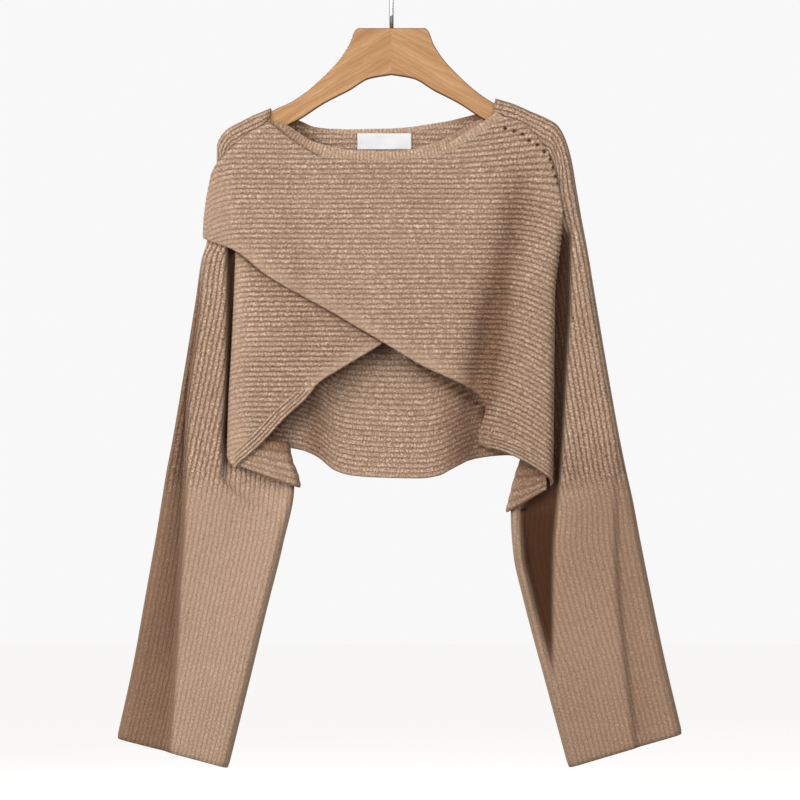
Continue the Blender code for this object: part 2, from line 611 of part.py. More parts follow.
# ---------------------------------------------------------------- sleeves
def half_section(row, side, back):
    """Points of a sleeve's front or back half from its outer edge inwards, with their arc length."""
    wide = math.hypot(row["ix"] - row["ox"], row["iz"] - row["oz"])
    run = wide * (1 - np.cos(np.linspace(0, math.pi, 161))) / 2
    x = row["ox"] + (row["ix"] - row["ox"]) * run / wide
    z = row["oz"] + (row["iz"] - row["oz"]) * run / wide
    nose = np.sqrt(1 - (1 - np.minimum(run / row["nose"], 1)) ** 2)
    inner = np.sqrt(np.maximum(1 - (1 - np.minimum((wide - run) / INNER_NOSE, 1)) ** 2, 0))
    inner = 1 - row["closed"] + row["closed"] * inner
    share = 1 - row["thin"] * smooth((run - wide + THIN_OUT) / THIN_OVER)
    beyond_ridge = smooth(side * (x - row["ridge"]) / RIDGE_WIDTH)
    if back:
        trough = np.exp(-((run - 0.55 * wide) / 15.0) ** 2)
        depth = share * back_depth(x, z) - BACK_TROUGH * row["drop"] * trough
    else:
        strip = 1 - row["closed"] * (1 - smooth((wide - run - 3.0) / 13.0))
        in_fold = smooth(side * (row["step"] - x) / STEP_WIDTH) * strip
        depth = share * front_depth(x, z) - row["drop"] * beyond_ridge - row["recess"] * in_fold
    y = np.maximum(depth * nose * inner, row["closed"] * run / wide * SEAM)
    y = y if back else -y
    points = np.stack([x, y, z], axis=-1)
    length = np.concatenate([[0.0], np.cumsum(np.linalg.norm(np.diff(points, axis=0), axis=1))])
    return points, length


def section_row(sleeve, place):
    """Sizes of a sleeve at a place counted in rows of its table."""
    rows = np.arange(len(sleeve["ox"]))
    return {name: float(np.interp(place, rows, column)) for name, column in sleeve.items()}


def section_points(sleeve, side, place, count, pitch):
    """Points about a sleeve at one place: count columns each way from the outer edge."""
    row = section_row(sleeve, place)
    halves = []
    for back in (True, False):
        points, length = half_section(row, side, back)
        step = length[-1] / count if row["closed"] == 1 else pitch
        wanted = np.minimum(np.arange(count + 1) * step, length[-1])
        halves.append(np.stack([np.interp(wanted, length, points[:, k]) for k in range(3)], axis=-1))
    return np.concatenate([halves[0][::-1], halves[1][1:]])


def build_sleeve(name, mat, sleeve, side):
    """A sleeve from the neck to the cuff: ribs run along it, and its edges meet under the arm."""
    first_closed = int(np.argmax(sleeve["closed"]))
    _, length = half_section(section_row(sleeve, first_closed), side, False)
    count = 2 * round(length[-1] / SLEEVE_RIB_PITCH)
    pitch = length[-1] / count
    places = np.arange(len(sleeve["ox"]), dtype=float)
    nudge = 0.02
    middle = np.array([section_points(sleeve, side, p, count, pitch) for p in places])
    before = np.array([section_points(sleeve, side, max(p - nudge, 0), count, pitch) for p in places])
    after = np.array([section_points(sleeve, side, min(p + nudge, places[-1]), count, pitch)
                      for p in places])
    normal = sleeve_normals(middle, after - before) * -side
    offset = np.arange(-count, count + 1)
    rib = np.abs(offset % 2) * RIB * np.ones(middle.shape[:2])
    seam_gap = np.minimum(np.linalg.norm(middle - middle[:, :1], axis=2),
                          np.linalg.norm(middle - middle[:, -1:], axis=2))
    rib = rib * smooth((seam_gap - SEAM_PLAIN) / EDGE_FADE) * (1 - sleeve["plain"][:, None])
    outer = middle + normal * (WALL / 2 + rib)[..., None]
    inner = middle - normal * (WALL / 2)
    wall = Wall()
    wall.add_patch(outer, inner, list(range(len(places))), list(range(0, 2 * count + 1, 2)))
    return wall.finish(name, mat), middle


def sleeve_normals(middle, along):
    """Unit normals of a section grid, taken from the nearest points that differ from each."""
    normal = np.zeros(middle.shape)
    for r in range(middle.shape[0]):
        line = middle[r]
        apart = np.linalg.norm(np.diff(line, axis=0), axis=1) > 1e-6
        real = [0] + [c + 1 for c in range(len(apart)) if apart[c]]
        spots = line[real]
        across = np.gradient(spots, axis=0)
        facing = np.cross(across, along[r][real])
        facing /= np.linalg.norm(facing, axis=1, keepdims=True)
        owner = np.searchsorted(real, np.arange(len(line)), side="right") - 1
        normal[r] = facing[owner]
    return normal


# ---------------------------------------------------------------- narrow pieces
def neck_line(grids):
    """The neck edge of a panel, shoulder to shoulder, as flat places and heights."""
    left, right = grids
    up_left, up_right = left["levels"] >= left["low"], right["levels"] >= right["low"]
    q = np.concatenate([left["q"][up_left, -1], right["q"][up_right, 0][::-1][1:]])
    z = np.concatenate([left["z"][up_left, -1], right["z"][up_right, 0][::-1][1:]])
    return np.stack([q, z], axis=-1)


def build_band(name, mat, line, surface, facing, band):
    """A rib strip that stands on a neck edge, its ribs across the strip."""
    fine = [line[0]]
    for a, b in zip(line, line[1:]):
        pieces = max(1, round(float(np.linalg.norm(b - a)) / (RIB_PITCH / 2)))
        fine += [a + (b - a) * k / pieces for k in range(1, pieces + 1)]
    fine = np.array([point for point in fine if band["start"] <= point[0] <= band["end"]])
    along = np.gradient(fine, axis=0)
    along /= np.linalg.norm(along, axis=1, keepdims=True)
    upward = np.stack([-along[:, 1], along[:, 0]], axis=-1)
    steps = np.linalg.norm(np.diff(fine, axis=0), axis=1)
    run = np.concatenate([[0.0], np.cumsum(steps)])
    across = upward * band["width"]
    for label, gone in (("first", run), ("last", run[-1] - run)):
        cut = np.array([band[label + "_q"], band[label + "_z"]])
        across += (1 - smooth(gone / BAND_TURN))[:, None] * (cut - across)
    foot = fine + upward * BAND_GAP
    q, z = np.array([foot + across, foot]).transpose(2, 0, 1)
    rib = 0.9 * RIB * (np.arange(len(fine)) % 2) * np.ones((2, 1))
    outer, inner = wall_sides(surface, q, z, rib, facing)
    wall = Wall()
    wall.add_patch(outer, inner, [0, 1], list(range(len(fine))))
    return wall.finish(name, mat)


def build_gusset(name, mat, gusset, side):
    """The short piece under an arm: it comes in from the body's side, folds and goes back."""
    rows = 7
    place = np.linspace(0, len(gusset["x_out"]) - 1, rows)
    row = {k: np.interp(place, np.arange(len(v)), v)[:, None] for k, v in gusset.items()}
    straight = np.linspace(0, 1, 5)[None, :]
    turn = np.linspace(0, math.pi, 9)[None, 1:-1]
    x_turn = row["x_fold"] + side * (GUSSET_TURN + WALL / 2)
    x_flat = row["x_out"] + (x_turn - row["x_out"]) * straight
    x_behind = x_turn + side * GUSSET_BACK * np.linspace(0, 1, 3)[None, :]
    x = np.concatenate([x_flat, x_turn - side * GUSSET_TURN * np.sin(turn), x_behind], axis=1)
    middle, half = (row["back"] - row["front"]) / 2, (row["back"] + row["front"]) / 2
    front = row["out"] + (row["front"] - row["out"]) * smooth(1.6 * straight)
    y = np.concatenate([-front, middle - half * np.cos(turn),
                        row["back"] * np.ones((1, 3))], axis=1)
    share = (x - row["x_out"]) / (row["x_fold"] - row["x_out"])
    z = row["z_out"] + (row["z_fold"] - row["z_out"]) * share
    centre = np.stack([x, y, z], axis=-1)
    normal = np.cross(np.gradient(centre, axis=1), np.gradient(centre, axis=0)) * side
    normal /= np.linalg.norm(normal, axis=2, keepdims=True)
    rib = RIB * 0.8 * (np.arange(rows) % 2)[:, None] * np.ones(x.shape)
    outer = centre + normal * (WALL / 2 + rib)[..., None]
    inner = centre - normal * (WALL / 2)
    wall = Wall()
    wall.add_patch(outer, inner, [0, 2, 4, 6], list(range(x.shape[1])))
    return wall.finish(name, mat)


def build_label(mat):
    """The bare label, lying on the inner face of the back under its neck band."""
    q = np.linspace(LABEL_LEFT, LABEL_RIGHT, 6)[None, :].repeat(3, axis=0)
    z = np.linspace(LABEL_TOP, LABEL_BOTTOM, 3)[:, None].repeat(6, axis=1)
    near = back_surface(q, z)
    front = near.copy()
    near[..., 1] -= WALL / 2 + SEAM
    front[..., 1] -= WALL / 2 + SEAM + LABEL_WALL
    wall = Wall()
    wall.add_patch(front, near, [0, 1, 2], list(range(6)))
    return wall.finish("label", mat)


# ---------------------------------------------------------------- hanger and hook
def build_hanger(mat):
    right = list(zip(HANGER_TOP["x"], HANGER_TOP["z"])) + list(zip(HANGER_UNDER["x"], HANGER_UNDER["z"]))
    outline = right + [(-x, z) for x, z in reversed(right[:-1])]
    count = len(outline)
    points = [(x, y, z) for y in (-HANGER_HALF, HANGER_HALF) for x, z in outline]
    faces = [list(range(count)), list(range(2 * count - 1, count - 1, -1))]
    faces += [[(i + 1) % count, i, count + i, count + (i + 1) % count] for i in range(count)]
    obj = add_object("hanger", points, faces, mat)
    bevel = obj.modifiers.new("rounded_edges", "BEVEL")
    bevel.width = HANGER_EDGE * MM
    bevel.segments = 1
    bevel.limit_method = "ANGLE"
    bevel.angle_limit = math.radians(60)
    return obj


def hook_line():
    """Centre line of the hook: from its tip over the top, round to the bend and down the stem."""
    radius = HOOK_INNER + HOOK_WIRE
    centre_z = -HOOK_INNER
    reach = radius + HOOK_BEND
    bend_z = centre_z - math.sqrt(reach ** 2 - HOOK_BEND ** 2)
    meet = math.degrees(math.atan2(bend_z - centre_z, -HOOK_BEND)) % 360
    line = []
    for k in range(19):
        angle = math.radians(HOOK_TIP_DEGREES + (meet - HOOK_TIP_DEGREES) * k / 18)
        line.append((radius * math.cos(angle), 0.0, centre_z + radius * math.sin(angle)))
    for k in range(1, 6):
        angle = math.radians((meet - 180) * (1 - k / 5))
        x = -HOOK_BEND + HOOK_BEND * math.cos(angle)
        line.append((x, 0.0, bend_z + HOOK_BEND * math.sin(angle)))
    line.append((0.0, 0.0, (bend_z + WOOD_TOP) / 2))
    line.append((0.0, 0.0, WOOD_TOP + SEAM))
    return line


def build_hook(mat):
    line = np.array(hook_line())
    along = np.gradient(line, axis=0)
    along /= np.linalg.norm(along, axis=1, keepdims=True)
    beside = np.stack([-along[:, 2], np.zeros(len(line)), along[:, 0]], axis=-1)
    turns = np.linspace(0, 2 * math.pi, HOOK_SIDES, endpoint=False)
    points = [p + HOOK_WIRE * (math.cos(t) * b + math.sin(t) * np.array([0.0, 1.0, 0.0]))
              for p, b in zip(line, beside) for t in turns]
    rings = [[HOOK_SIDES * r + k for k in range(HOOK_SIDES)] for r in range(len(line))]
    faces = [rings[0][::-1], rings[-1]]
    for a, b in zip(rings, rings[1:]):
        faces += [[a[k - 1], a[k], b[k], b[k - 1]] for k in range(HOOK_SIDES)]
    return add_object("hook", points, faces, mat)


CAMEL = (0.42, 0.28, 0.19)


def knit(name):
    return material(name, CAMEL, 0.92)


def main():
    for obj in list(bpy.data.objects):
        bpy.data.objects.remove(obj)
    _, over = build_over(knit("knit_front_over"))
    _, under = build_under(knit("knit_front_under"))
    _, back = build_back(knit("knit_back"))
    build_sleeve("sleeve_left", knit("knit_sleeve_left"), SLEEVE_LEFT, -1)
    build_sleeve("sleeve_right", knit("knit_sleeve_right"), SLEEVE_RIGHT, 1)
    for i, (name, grids, surface, facing) in enumerate((
            ("over", over, over_surface, 1.0), ("under", under, under_surface, 1.0),
            ("back", back, back_surface, -1.0))):
        band = {label: column[i] for label, column in NECK_BANDS.items()}
        line = neck_line(grids)
        build_band(f"neck_band_{name}", knit(f"knit_band_{name}"), line, surface, facing, band)
    build_gusset("side_gusset_left", knit("knit_gusset_left"), GUSSET_LEFT, -1)
    build_gusset("side_gusset_right", knit("knit_gusset_right"), GUSSET_RIGHT, 1)
    build_label(material("label_white", (0.86, 0.86, 0.85), 0.8))
    build_hanger(material("beech", (0.62, 0.36, 0.14), 0.45))
    build_hook(material("bright_wire", (0.6, 0.6, 0.62), 0.25, 1.0))


main()
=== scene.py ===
"""The looks of an asymmetric rib-knit sweater with two crossed fronts, on a flat wooden hanger.

Tables and shapes are in millimetres and become metres when a mesh is made. X runs to the viewer's
right, Z up, and the fronts lie at negative Y. The origin is the inner top of the hook's wire.
"""

import math

import bmesh
import bpy
import numpy as np
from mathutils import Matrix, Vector, kdtree


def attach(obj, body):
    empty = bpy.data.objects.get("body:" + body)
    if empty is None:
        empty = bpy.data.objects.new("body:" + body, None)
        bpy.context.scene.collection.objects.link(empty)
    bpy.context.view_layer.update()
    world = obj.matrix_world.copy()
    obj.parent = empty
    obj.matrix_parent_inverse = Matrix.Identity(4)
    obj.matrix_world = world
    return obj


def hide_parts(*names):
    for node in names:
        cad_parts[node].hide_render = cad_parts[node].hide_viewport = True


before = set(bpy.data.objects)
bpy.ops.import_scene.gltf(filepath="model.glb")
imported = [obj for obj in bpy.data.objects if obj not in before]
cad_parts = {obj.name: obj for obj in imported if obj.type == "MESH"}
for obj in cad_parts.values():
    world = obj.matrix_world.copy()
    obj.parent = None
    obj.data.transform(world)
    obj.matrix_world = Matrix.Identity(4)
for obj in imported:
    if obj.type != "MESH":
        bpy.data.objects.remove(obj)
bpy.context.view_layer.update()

# ---------------------------------------------------------------- driving sizes, mm
MM = 0.001
WALL = 2.6              # thickness of the knit
RIB = 1.3               # height of a rib over the knit
RIB_PITCH = 6.0         # from rib to rib
STITCH = 4.1            # length of a stitch along a rib
EDGE_ROUND = 1.8        # rounding of a wall's cut edge
SEAM = 0.35             # air between sewn pieces
LAYER = 5.2             # from the lower front's middle to the upper front's middle
LAP_LAYER = 3.1         # the same along the upper front's sewn edges
HANGER_HALF = 7.0       # half of the wood's thickness
DEPTH_TOP = 10.8        # middle of a front or back from the hanger's plane, at the shoulders
DEPTH_LOW = 17.4        # and from the waist down
CORD_PITCH = 4.0        # of the strong ribs that run along some free edges
CORDS = 4               # how many of them there are
SUB = 3                 # rows of points to half a rib


def table(columns, *rows):
    """Rows of numbers under named columns: one array for each name."""
    return dict(zip(columns.split(), np.array(rows, float).T))


# ---------------------------------------------------------------- outlines seen from the front, mm
# q is a place along the cloth from side to side, the same as x where the cloth lies flat.
OVER_LEFT = table(
    "q z",
    (-146, -197), (-170, -209), (-185, -221), (-196, -231.5), (-205, -240.5), (-216, -250),
    (-228, -262), (-235, -280), (-239, -305), (-241, -325), (-239, -334), (-222, -339),
    (-187, -352), (-151, -380), (-67, -428), (26, -483.5), (113, -541),
    (107.5, -561), (104, -575), (106, -583), (113.5, -587.3),
)
OVER_RIGHT = table(
    "q z",
    (134, -190), (148, -194.5), (167.5, -207.5), (179.5, -221), (189, -236.5), (194, -248.5),
    (198.5, -264), (202, -284.5), (205.5, -305),
)
OVER_NECK = table(
    "q z",
    (-122, -216), (-98, -231.5), (-84, -238.5), (-62, -240.3), (-41, -241.4),
    (-14, -242), (12, -241.2), (28, -240.2), (51, -238.3), (71, -231.9), (92, -218.9),
    (109, -208.7), (126, -197),
)
UNDER_NECK = table(
    "q z",
    (-143.5, -203.5), (-130, -211.5), (-118, -220), (-98, -232), (-80, -237), (-66, -240.3),
    (-42, -243.6), (0, -245), (29, -241.6), (45, -236.7), (63, -230.3), (79.5, -222.2),
    (95, -212.8), (108, -205.5), (117.5, -199.5),
)
BACK_NECK = table(
    "q z",
    (-126, -196.2), (-113.5, -199.1), (-96, -206.5), (-78, -209.2), (-54, -210.2),
    (-14, -209.8), (25, -207.1), (46, -203.7), (68, -200.4), (88.5, -195.4), (102, -191.9),
)
OVER_FOLD_LEFT = table("z x", (-245, -215), (-264, -219), (-290, -224), (-314, -227), (-338, -228))
OVER_FOLD_RIGHT = table(
    "z x", (-290, 220), (-305, 214), (-318, 208), (-332, 205.5), (-355, 202), (-389, 197.5),
    (-402, 196.5), (-640, 194),
)
UNDER_FOLD_LEFT = table(
    "z x", (-290, -216), (-318, -203), (-353, -189), (-443, -192.5), (-497, -195.5),
    (-530, -197.5), (-625, -200),
)
UNDER_EDGE = [
    (192, -330), (150, -358), (70, -408), (-11, -463), (-67, -497), (-87, -510),
    (-101, -528), (-127, -552), (-156, -583), (-187, -610.8),
]
BACK_HEM = table(
    "q z",
    (-196, -574), (-156, -583.5), (-108, -591), (-91, -598), (-67, -616), (-48, -621.5), (-15, -624),
    (34, -625), (56, -622), (76, -612), (98, -602), (141, -597), (155, -599), (193, -607),
)
BACK_HEM_LEVEL = -599.0
# Soft folds of the body, each along a line: height over the cloth is positive for a ridge.
FRONT_FOLDS = table(
    "x1 z1 x2 z2 width height",
    (172, -300, 88, -560, 26, -1.8),
    (176, -340, 128, -600, 18, 1.4),
    (-108, -390, -106, -590, 18, -2.4),
    (-150, -430, -174, -600, 16, 1.6),
    (-190, -260, -40, -420, 26, 1.0),
    (40, -260, 20, -470, 28, -0.8),
    (162, -250, 92, -580, 19, -6.2),
    (126, -390, 74, -620, 22, -4.4),
    (184, -290, 166, -620, 15, 2.4),
    (-128, -270, -98, -470, 10, -2.0),
)
BACK_FOLDS = table(
    "x1 z1 x2 z2 width height",
    (-96, -470, -88, -640, 11, -4.2),
    (-60, -440, -62, -640, 15, 2.6),
    (120, -360, 84, -640, 16, 3.2),
    (152, -330, 128, -610, 12, -3.4),
    (-150, -300, -128, -560, 17, 2.6),
    (20, -300, 10, -560, 24, -1.8),
    (196, -280, 188, -680, 9, -6.0),
    (-190, -280, -193, -660, 9, -6.0),
    (122, -400, 108, -660, 24, 6.5),
)
# Painted shade: how much darker the cloth's colour is made in its folds, along the same kind of lines.
FRONT_SHADES = table(
    "x1 z1 x2 z2 width height",
    (164, -215, 100, -560, 20, 0.56),
    (130, -350, 84, -680, 25, 0.50),
    (-126, -260, -98, -480, 9, 0.16),
    (204, -280, 192, -700, 6, 0.25),
)
BACK_SHADES = table(
    "x1 z1 x2 z2 width height",
    (88, -380, 86, -700, 28, 0.62),
    (-96, -400, -90, -700, 11, 0.50),
    (-58, -246, -140, -186, 8, 0.5),
    (44, -244, 128, -182, 8, 0.75),
)

# ---------------------------------------------------------------- sleeves, a row for each section
# o is the outer edge seen from the front, i the seam with the body or the inner edge. step is
# where the front face turns back into the fold beside the body, recess how deep that fold is,
# ridge and drop the long fold on the front face, nose the rounding of the outer edge, thin the
# share of the depth missing towards the inner edge, plain is 1 where the ribs are left flat under
# another piece, and closed is 1 where the sleeve is a tube.
SLEEVE_COLUMNS = "ox oz ix iz step recess ridge drop nose thin plain closed"
SLEEVE_LEFT = table(
    SLEEVE_COLUMNS,
    (-144.5, -180.8, -147.5, -193.5, -100, 0, -200, 0, 9, 0, 1, 0),
    (-165.5, -189.5, -167.0, -212.0, -100, 0, -200, 0, 10, 0, 0, 0),
    (-180.5, -197.0, -183.0, -225.5, -100, 0, -205, 0, 11, 0, 0, 0),
    (-198.5, -207.5, -194.0, -237.5, -100, 0, -210, 0, 11, 0, 0, 0),
    (-208.5, -225.5, -197.5, -250.0, -100, 0, -215, 0, 10, 0, 1, 0),
    (-208.8, -247.5, -196.0, -265.0, -180, 0, -225, 0, 7, 0, 1, 0),
    (-214.5, -275.0, -193.0, -287.0, -190, 0, -228, 0, 7, 0, 1, 0),
    (-219.0, -312.0, -186.5, -318.0, -196, 6, -230, 0, 9, 0, 1, 0),
    (-221.0, -342.0, -183.0, -344.0, -199, 12, -222, 4, 11, 0, 1, 0),
    (-226.5, -360.0, -183.5, -362.0, -200, 13, -224, 3, 7, 0, 0, 0),
    (-234.0, -410.0, -185.0, -411.0, -200, 13, -225, 7, 8, 0, 0, 0),
    (-253.5, -530.0, -191.5, -530.0, -203, 13, -238, 11, 8, 0, 0, 0),
    (-262.5, -582.0, -193.0, -584.0, -206, 13, -241, 12, 8, 0, 0, 0),
    (-269.0, -616.0, -117.5, -631.0, -206, 9, -242, 13, 8, 0.40, 0, 1),
    (-281.0, -690.0, -131.5, -704.0, -100, 0, -245, 13, 10, 0, 0, 1),
    (-294.5, -766.0, -150.5, -780.0, -100, 0, -250, 13, 10, 0, 0, 1),
    (-308.0, -842.0, -169.0, -857.0, -100, 0, -254, 12, 11, 0, 0, 1),
    (-328.5, -936.3, -197.0, -971.5, -100, 0, -262, 8, 10, 0, 0, 1),
)
SLEEVE_RIGHT = table(
    SLEEVE_COLUMNS,
    (124.5, -169.3, 123.0, -184.5, 80, 0, 240, 0, 9, 0, 1, 0),
    (146.0, -175.8, 149.5, -199.0, 80, 0, 240, 0, 10, 0, 0, 0),
    (166.0, -184.5, 168.5, -212.0, 80, 0, 240, 0, 12, 0, 0, 0),
    (183.5, -192.0, 179.5, -225.5, 80, 0, 240, 0, 12, 0, 0, 0),
    (198.0, -200.5, 188.5, -241.0, 80, 0, 250, 0, 12, 0, 0, 0),
    (207.0, -215.5, 193.0, -253.0, 80, 0, 260, 0, 11, 0, 0, 0),
    (215.0, -242.0, 196.5, -268.0, 150, 0, 270, 0, 10, 0, 0, 0),
    (221.0, -277.0, 198.0, -286.5, 190, 0, 280, 0, 8, 0, 0, 0),
    (227.0, -312.0, 200.0, -312.0, 219, 2, 285, 0, 8, 0, 0, 0),
    (234.5, -352.0, 195.5, -352.0, 218, 12, 290, 0, 8, 0, 0, 0),
    (242.0, -398.0, 190.0, -398.0, 218, 14, 295, 0, 9, 0, 0, 0),
    (258.5, -496.0, 188.5, -496.0, 213, 15, 262, 0, 9, 0, 0, 0),
    (272.0, -572.0, 188.0, -572.0, 209, 15, 265, 1, 9, 0, 0, 0),
    (280.0, -612.0, 187.5, -616.0, 206, 15, 264, 2, 9, 0, 0, 0),
    (288.5, -650.0, 144.0, -664.0, 201, 8, 264, 3.5, 9, 0.45, 0, 1),
    (297.5, -698.0, 147.5, -716.0, 197, 15, 264, 5, 10, 0, 0, 1),
    (307.0, -746.0, 158.5, -766.0, 196, 12, 266, 6, 10, 0, 0, 1),
    (327.0, -842.0, 184.5, -864.0, 196, 5, 276, 6.5, 11, 0, 0, 1),
    (348.0, -931.0, 213.5, -971.0, 196, 0, 288, 5, 10, 0, 0, 1),
)
RIDGE_WIDTH = 9.0       # over which the long fold of a sleeve drops
STEP_WIDTH = 6.0        # over which a sleeve turns back beside the body
INNER_NOSE = 9.0        # rounding of a sleeve's inner edge
THIN_OUT, THIN_OVER = 80.0, 50.0    # where a sleeve begins to thin, and over what width
BACK_TROUGH = 0.45      # share of a sleeve's long fold that its back has, as a soft trough

# shade is painted shade on each row of a gusset.
GUSSET_COLUMNS = "x_out z_out x_fold z_fold out front back shade"
GUSSET_LEFT = table(
    GUSSET_COLUMNS,
    (-186, -573, -123, -581, 11.0, 10.0, 12.4, 0.85),
    (-186, -590, -119, -603, 12.0, 12.0, 12.8, 0.3),
    (-186, -600, -112, -621, 12.8, 16.0, 16.0, 0.15),
    (-186, -609, -109, -636, 13.0, 20.8, 19.5, 0.2),
)
GUSSET_RIGHT = table(
    GUSSET_COLUMNS,
    (186, -606, 157, -596, 8.0, 8.0, 11.0, 0.9),
    (186, -617, 149, -619, 9.0, 10.0, 12.9, 0.65),
    (186, -629, 142, -646, 10.0, 12.6, 14.5, 0.45),
    (186, -638, 137, -666, 11.0, 14.6, 16.0, 0.4),
)
GUSSET_TURN = 8.0       # rounding of a gusset at its fold, along x
GUSSET_BACK = 16.0      # width of the part that goes back behind the fold

HANGER_TOP = table(
    "x z",
    (40.5, -84), (43.5, -86.5), (50.5, -103), (62, -121), (79, -139.5), (100, -158.5),
    (122, -173.5), (140, -181.6), (149, -187.5), (167, -198), (178, -205), (186, -214), (189.5, -222),
)
HANGER_UNDER = table(
    "x z",
    (189, -231), (178, -229), (156, -217), (120, -198.5), (111.5, -194), (80.5, -174),
    (50.5, -158.5), (26.5, -144.5), (0, -139.8),
)
HANGER_EDGE = 2.0       # rounding of the wood's edges
HOOK_WIRE = 2.5         # radius of the wire
HOOK_INNER = 19.0       # inner radius of the hook
HOOK_BEND = 8.0         # radius of the bend over the stem
HOOK_TIP_DEGREES = -22.0
HOOK_TIP_SHARE = 0.55   # the wire's end is drawn in to this share of its width
HOOK_SIDES = 20
WOOD_TOP = -84.0

LABEL_LEFT, LABEL_RIGHT = -41.0, 24.0
LABEL_TOP, LABEL_BOTTOM = -209.5, -229.0
LABEL_WALL = 0.8

# Small eyelets in the upper front beside its right shoulder seam, x and z.
EYELETS = [
    (136.2, -205.2), (147, -208.8), (156.6, -212.4), (165, -219.6), (174.6, -225), (183, -233.4),
    (190.2, -242.4), (193.5, -252), (196.5, -262.5), (199.5, -271),
]
EYELET_RADIUS = 2.0
EYELET_SLOPE = 0.7      # half the width of its sloping side
EYELET_DEEP = WALL * 0.8


# ---------------------------------------------------------------- small helpers
def smooth(t):
    """0 below 0, 1 above 1, an even slope between."""
    t = np.clip(t, 0.0, 1.0)
    return t * t * (3.0 - 2.0 * t)


def ridge(phase):
    """A round rib between narrow grooves, one to each whole number."""
    return np.abs(np.sin(math.pi * phase)) ** 0.75


def hump(x, middle, width):
    """A soft round rise of 1 at the middle."""
    return np.exp(-((x - middle) / width) ** 2)


def quarter(t):
    """The rise of a quarter circle, 1 from t = 1 on."""
    return np.sqrt(np.maximum(1 - (1 - np.minimum(t, 1.0)) ** 2, 0.0))


def rounding(distance):
    """Share of its thickness that a wall has at a distance from its cut edge."""
    return 0.3 + 0.7 * quarter(distance)


def unit(vectors):
    return vectors / np.maximum(np.linalg.norm(vectors, axis=-1, keepdims=True), 1e-9)


def pairs(path):
    """Flat places and heights as points, along the last axis."""
    return np.stack([path["q"], path["z"]], axis=-1)


def run_of(points):
    """Distance run along points, from 0 at the first."""
    return np.concatenate([[0.0], np.cumsum(np.linalg.norm(np.diff(points, axis=0), axis=1))])


def flow(x, y, want):
    """A smooth line through points at rising x that never swings past them."""
    step = np.diff(x)
    rise = np.diff(y) / step
    slope = np.concatenate([rise[:1], np.zeros(len(x) - 2), rise[-1:]])
    before, after = rise[:-1], rise[1:]
    one_way = before * after > 0
    near, far = 2 * step[1:] + step[:-1], step[1:] + 2 * step[:-1]
    before, after = np.where(one_way, before, 1.0), np.where(one_way, after, 1.0)
    slope[1:-1] = np.where(one_way, (near + far) / (near / before + far / after), 0.0)
    i = np.clip(np.searchsorted(x, want, side="right") - 1, 0, len(x) - 2)
    t = (want - x[i]) / step[i]
    curve = y[i] * (1 + 2 * t) * (1 - t) ** 2 + y[i + 1] * t * t * (3 - 2 * t)
    return curve + step[i] * (slope[i] * t * (1 - t) ** 2 - slope[i + 1] * t * t * (1 - t))


def rounded(path, across, up, spacing=2.0):
    """A path's rows read at even distances along a smooth line through them."""
    run = np.hypot(np.diff(path[across]), np.diff(path[up]))
    run = np.concatenate([[0.0], np.cumsum(np.maximum(run, 1e-3))])
    want = np.linspace(0, run[-1], max(2, round(run[-1] / spacing)) + 1)
    return {name: flow(run, column, want) for name, column in path.items()}


def at(path, key, value, want):
    """Read column want of a path where column key, which falls along the path, has value."""
    return np.interp(-np.asarray(value, float), -path[key], path[want])


def folds(rows, x, z):
    """Sum of soft ridges and troughs, each fading at both ends of its line."""
    total = np.zeros(np.broadcast(x, z).shape)
    for x1, z1, x2, z2, width, height in zip(*rows.values()):
        dx, dz = x2 - x1, z2 - z1
        along = ((x - x1) * dx + (z - z1) * dz) / (dx * dx + dz * dz)
        off = ((x - x1) * dz - (z - z1) * dx) / math.hypot(dx, dz)
        ends = smooth(along / 0.3) * smooth((1.0 - along) / 0.12)
        total = total + height * hump(off, 0.0, width) * ends
    return total


def hang_depth(z):
    """How far the cloth's middle hangs from the hanger's plane at height z."""
    return DEPTH_TOP + (DEPTH_LOW - DEPTH_TOP) * smooth((-190.0 - z) / 210.0)


def front_depth(x, z):
    return hang_depth(z) + folds(FRONT_FOLDS, x, z)


def back_depth(x, z):
    return hang_depth(z) + folds(BACK_FOLDS, x, z)


# ---------------------------------------------------------------- shader nodes
def feed(tree, socket, value):
    """Join a value to a socket, or set it there if it is a constant; None leaves the socket."""
    value = getattr(value, "socket", value)
    if isinstance(value, bpy.types.NodeSocket):
        tree.links.new(value, socket)
    elif value is not None:
        socket.default_value = value


def node(tree, kind, *values, **settings):
    """Add a node whose inputs are fed, in order, with the values."""
    made = tree.nodes.new(kind)
    for name, value in settings.items():
        setattr(made, name, value)
    for socket, value in zip(made.inputs, values):
        feed(tree, socket, value)
    return made


class Field:
    """A number that varies over a surface, for plain arithmetic with nodes."""

    def __init__(self, tree, socket):
        self.tree, self.socket = tree, socket

    def math(self, operation, *others, clamp=False):
        made = node(self.tree, "ShaderNodeMath", self, *others, operation=operation, use_clamp=clamp)
        return Field(self.tree, made.outputs[0])

    def __add__(self, other):
        return self.math("ADD", other)

    def __sub__(self, other):
        return self.math("SUBTRACT", other)

    def __rsub__(self, other):
        return self.math("MULTIPLY_ADD", -1.0, other)

    def __mul__(self, other):
        return self.math("MULTIPLY", other)

    def __pow__(self, power):
        return self.math("POWER", power)

    def __abs__(self):
        return self.math("ABSOLUTE")


def split(tree, vector):
    """A vector's three numbers."""
    return [Field(tree, socket) for socket in node(tree, "ShaderNodeSeparateXYZ", vector).outputs]


def mixed(tree, share, first, second, blend="MIX"):
    """A colour between two colours."""
    made = node(tree, "ShaderNodeMix", share, data_type="RGBA", blend_type=blend)
    feed(tree, made.inputs[6], first)
    feed(tree, made.inputs[7], second)
    return made.outputs[2]


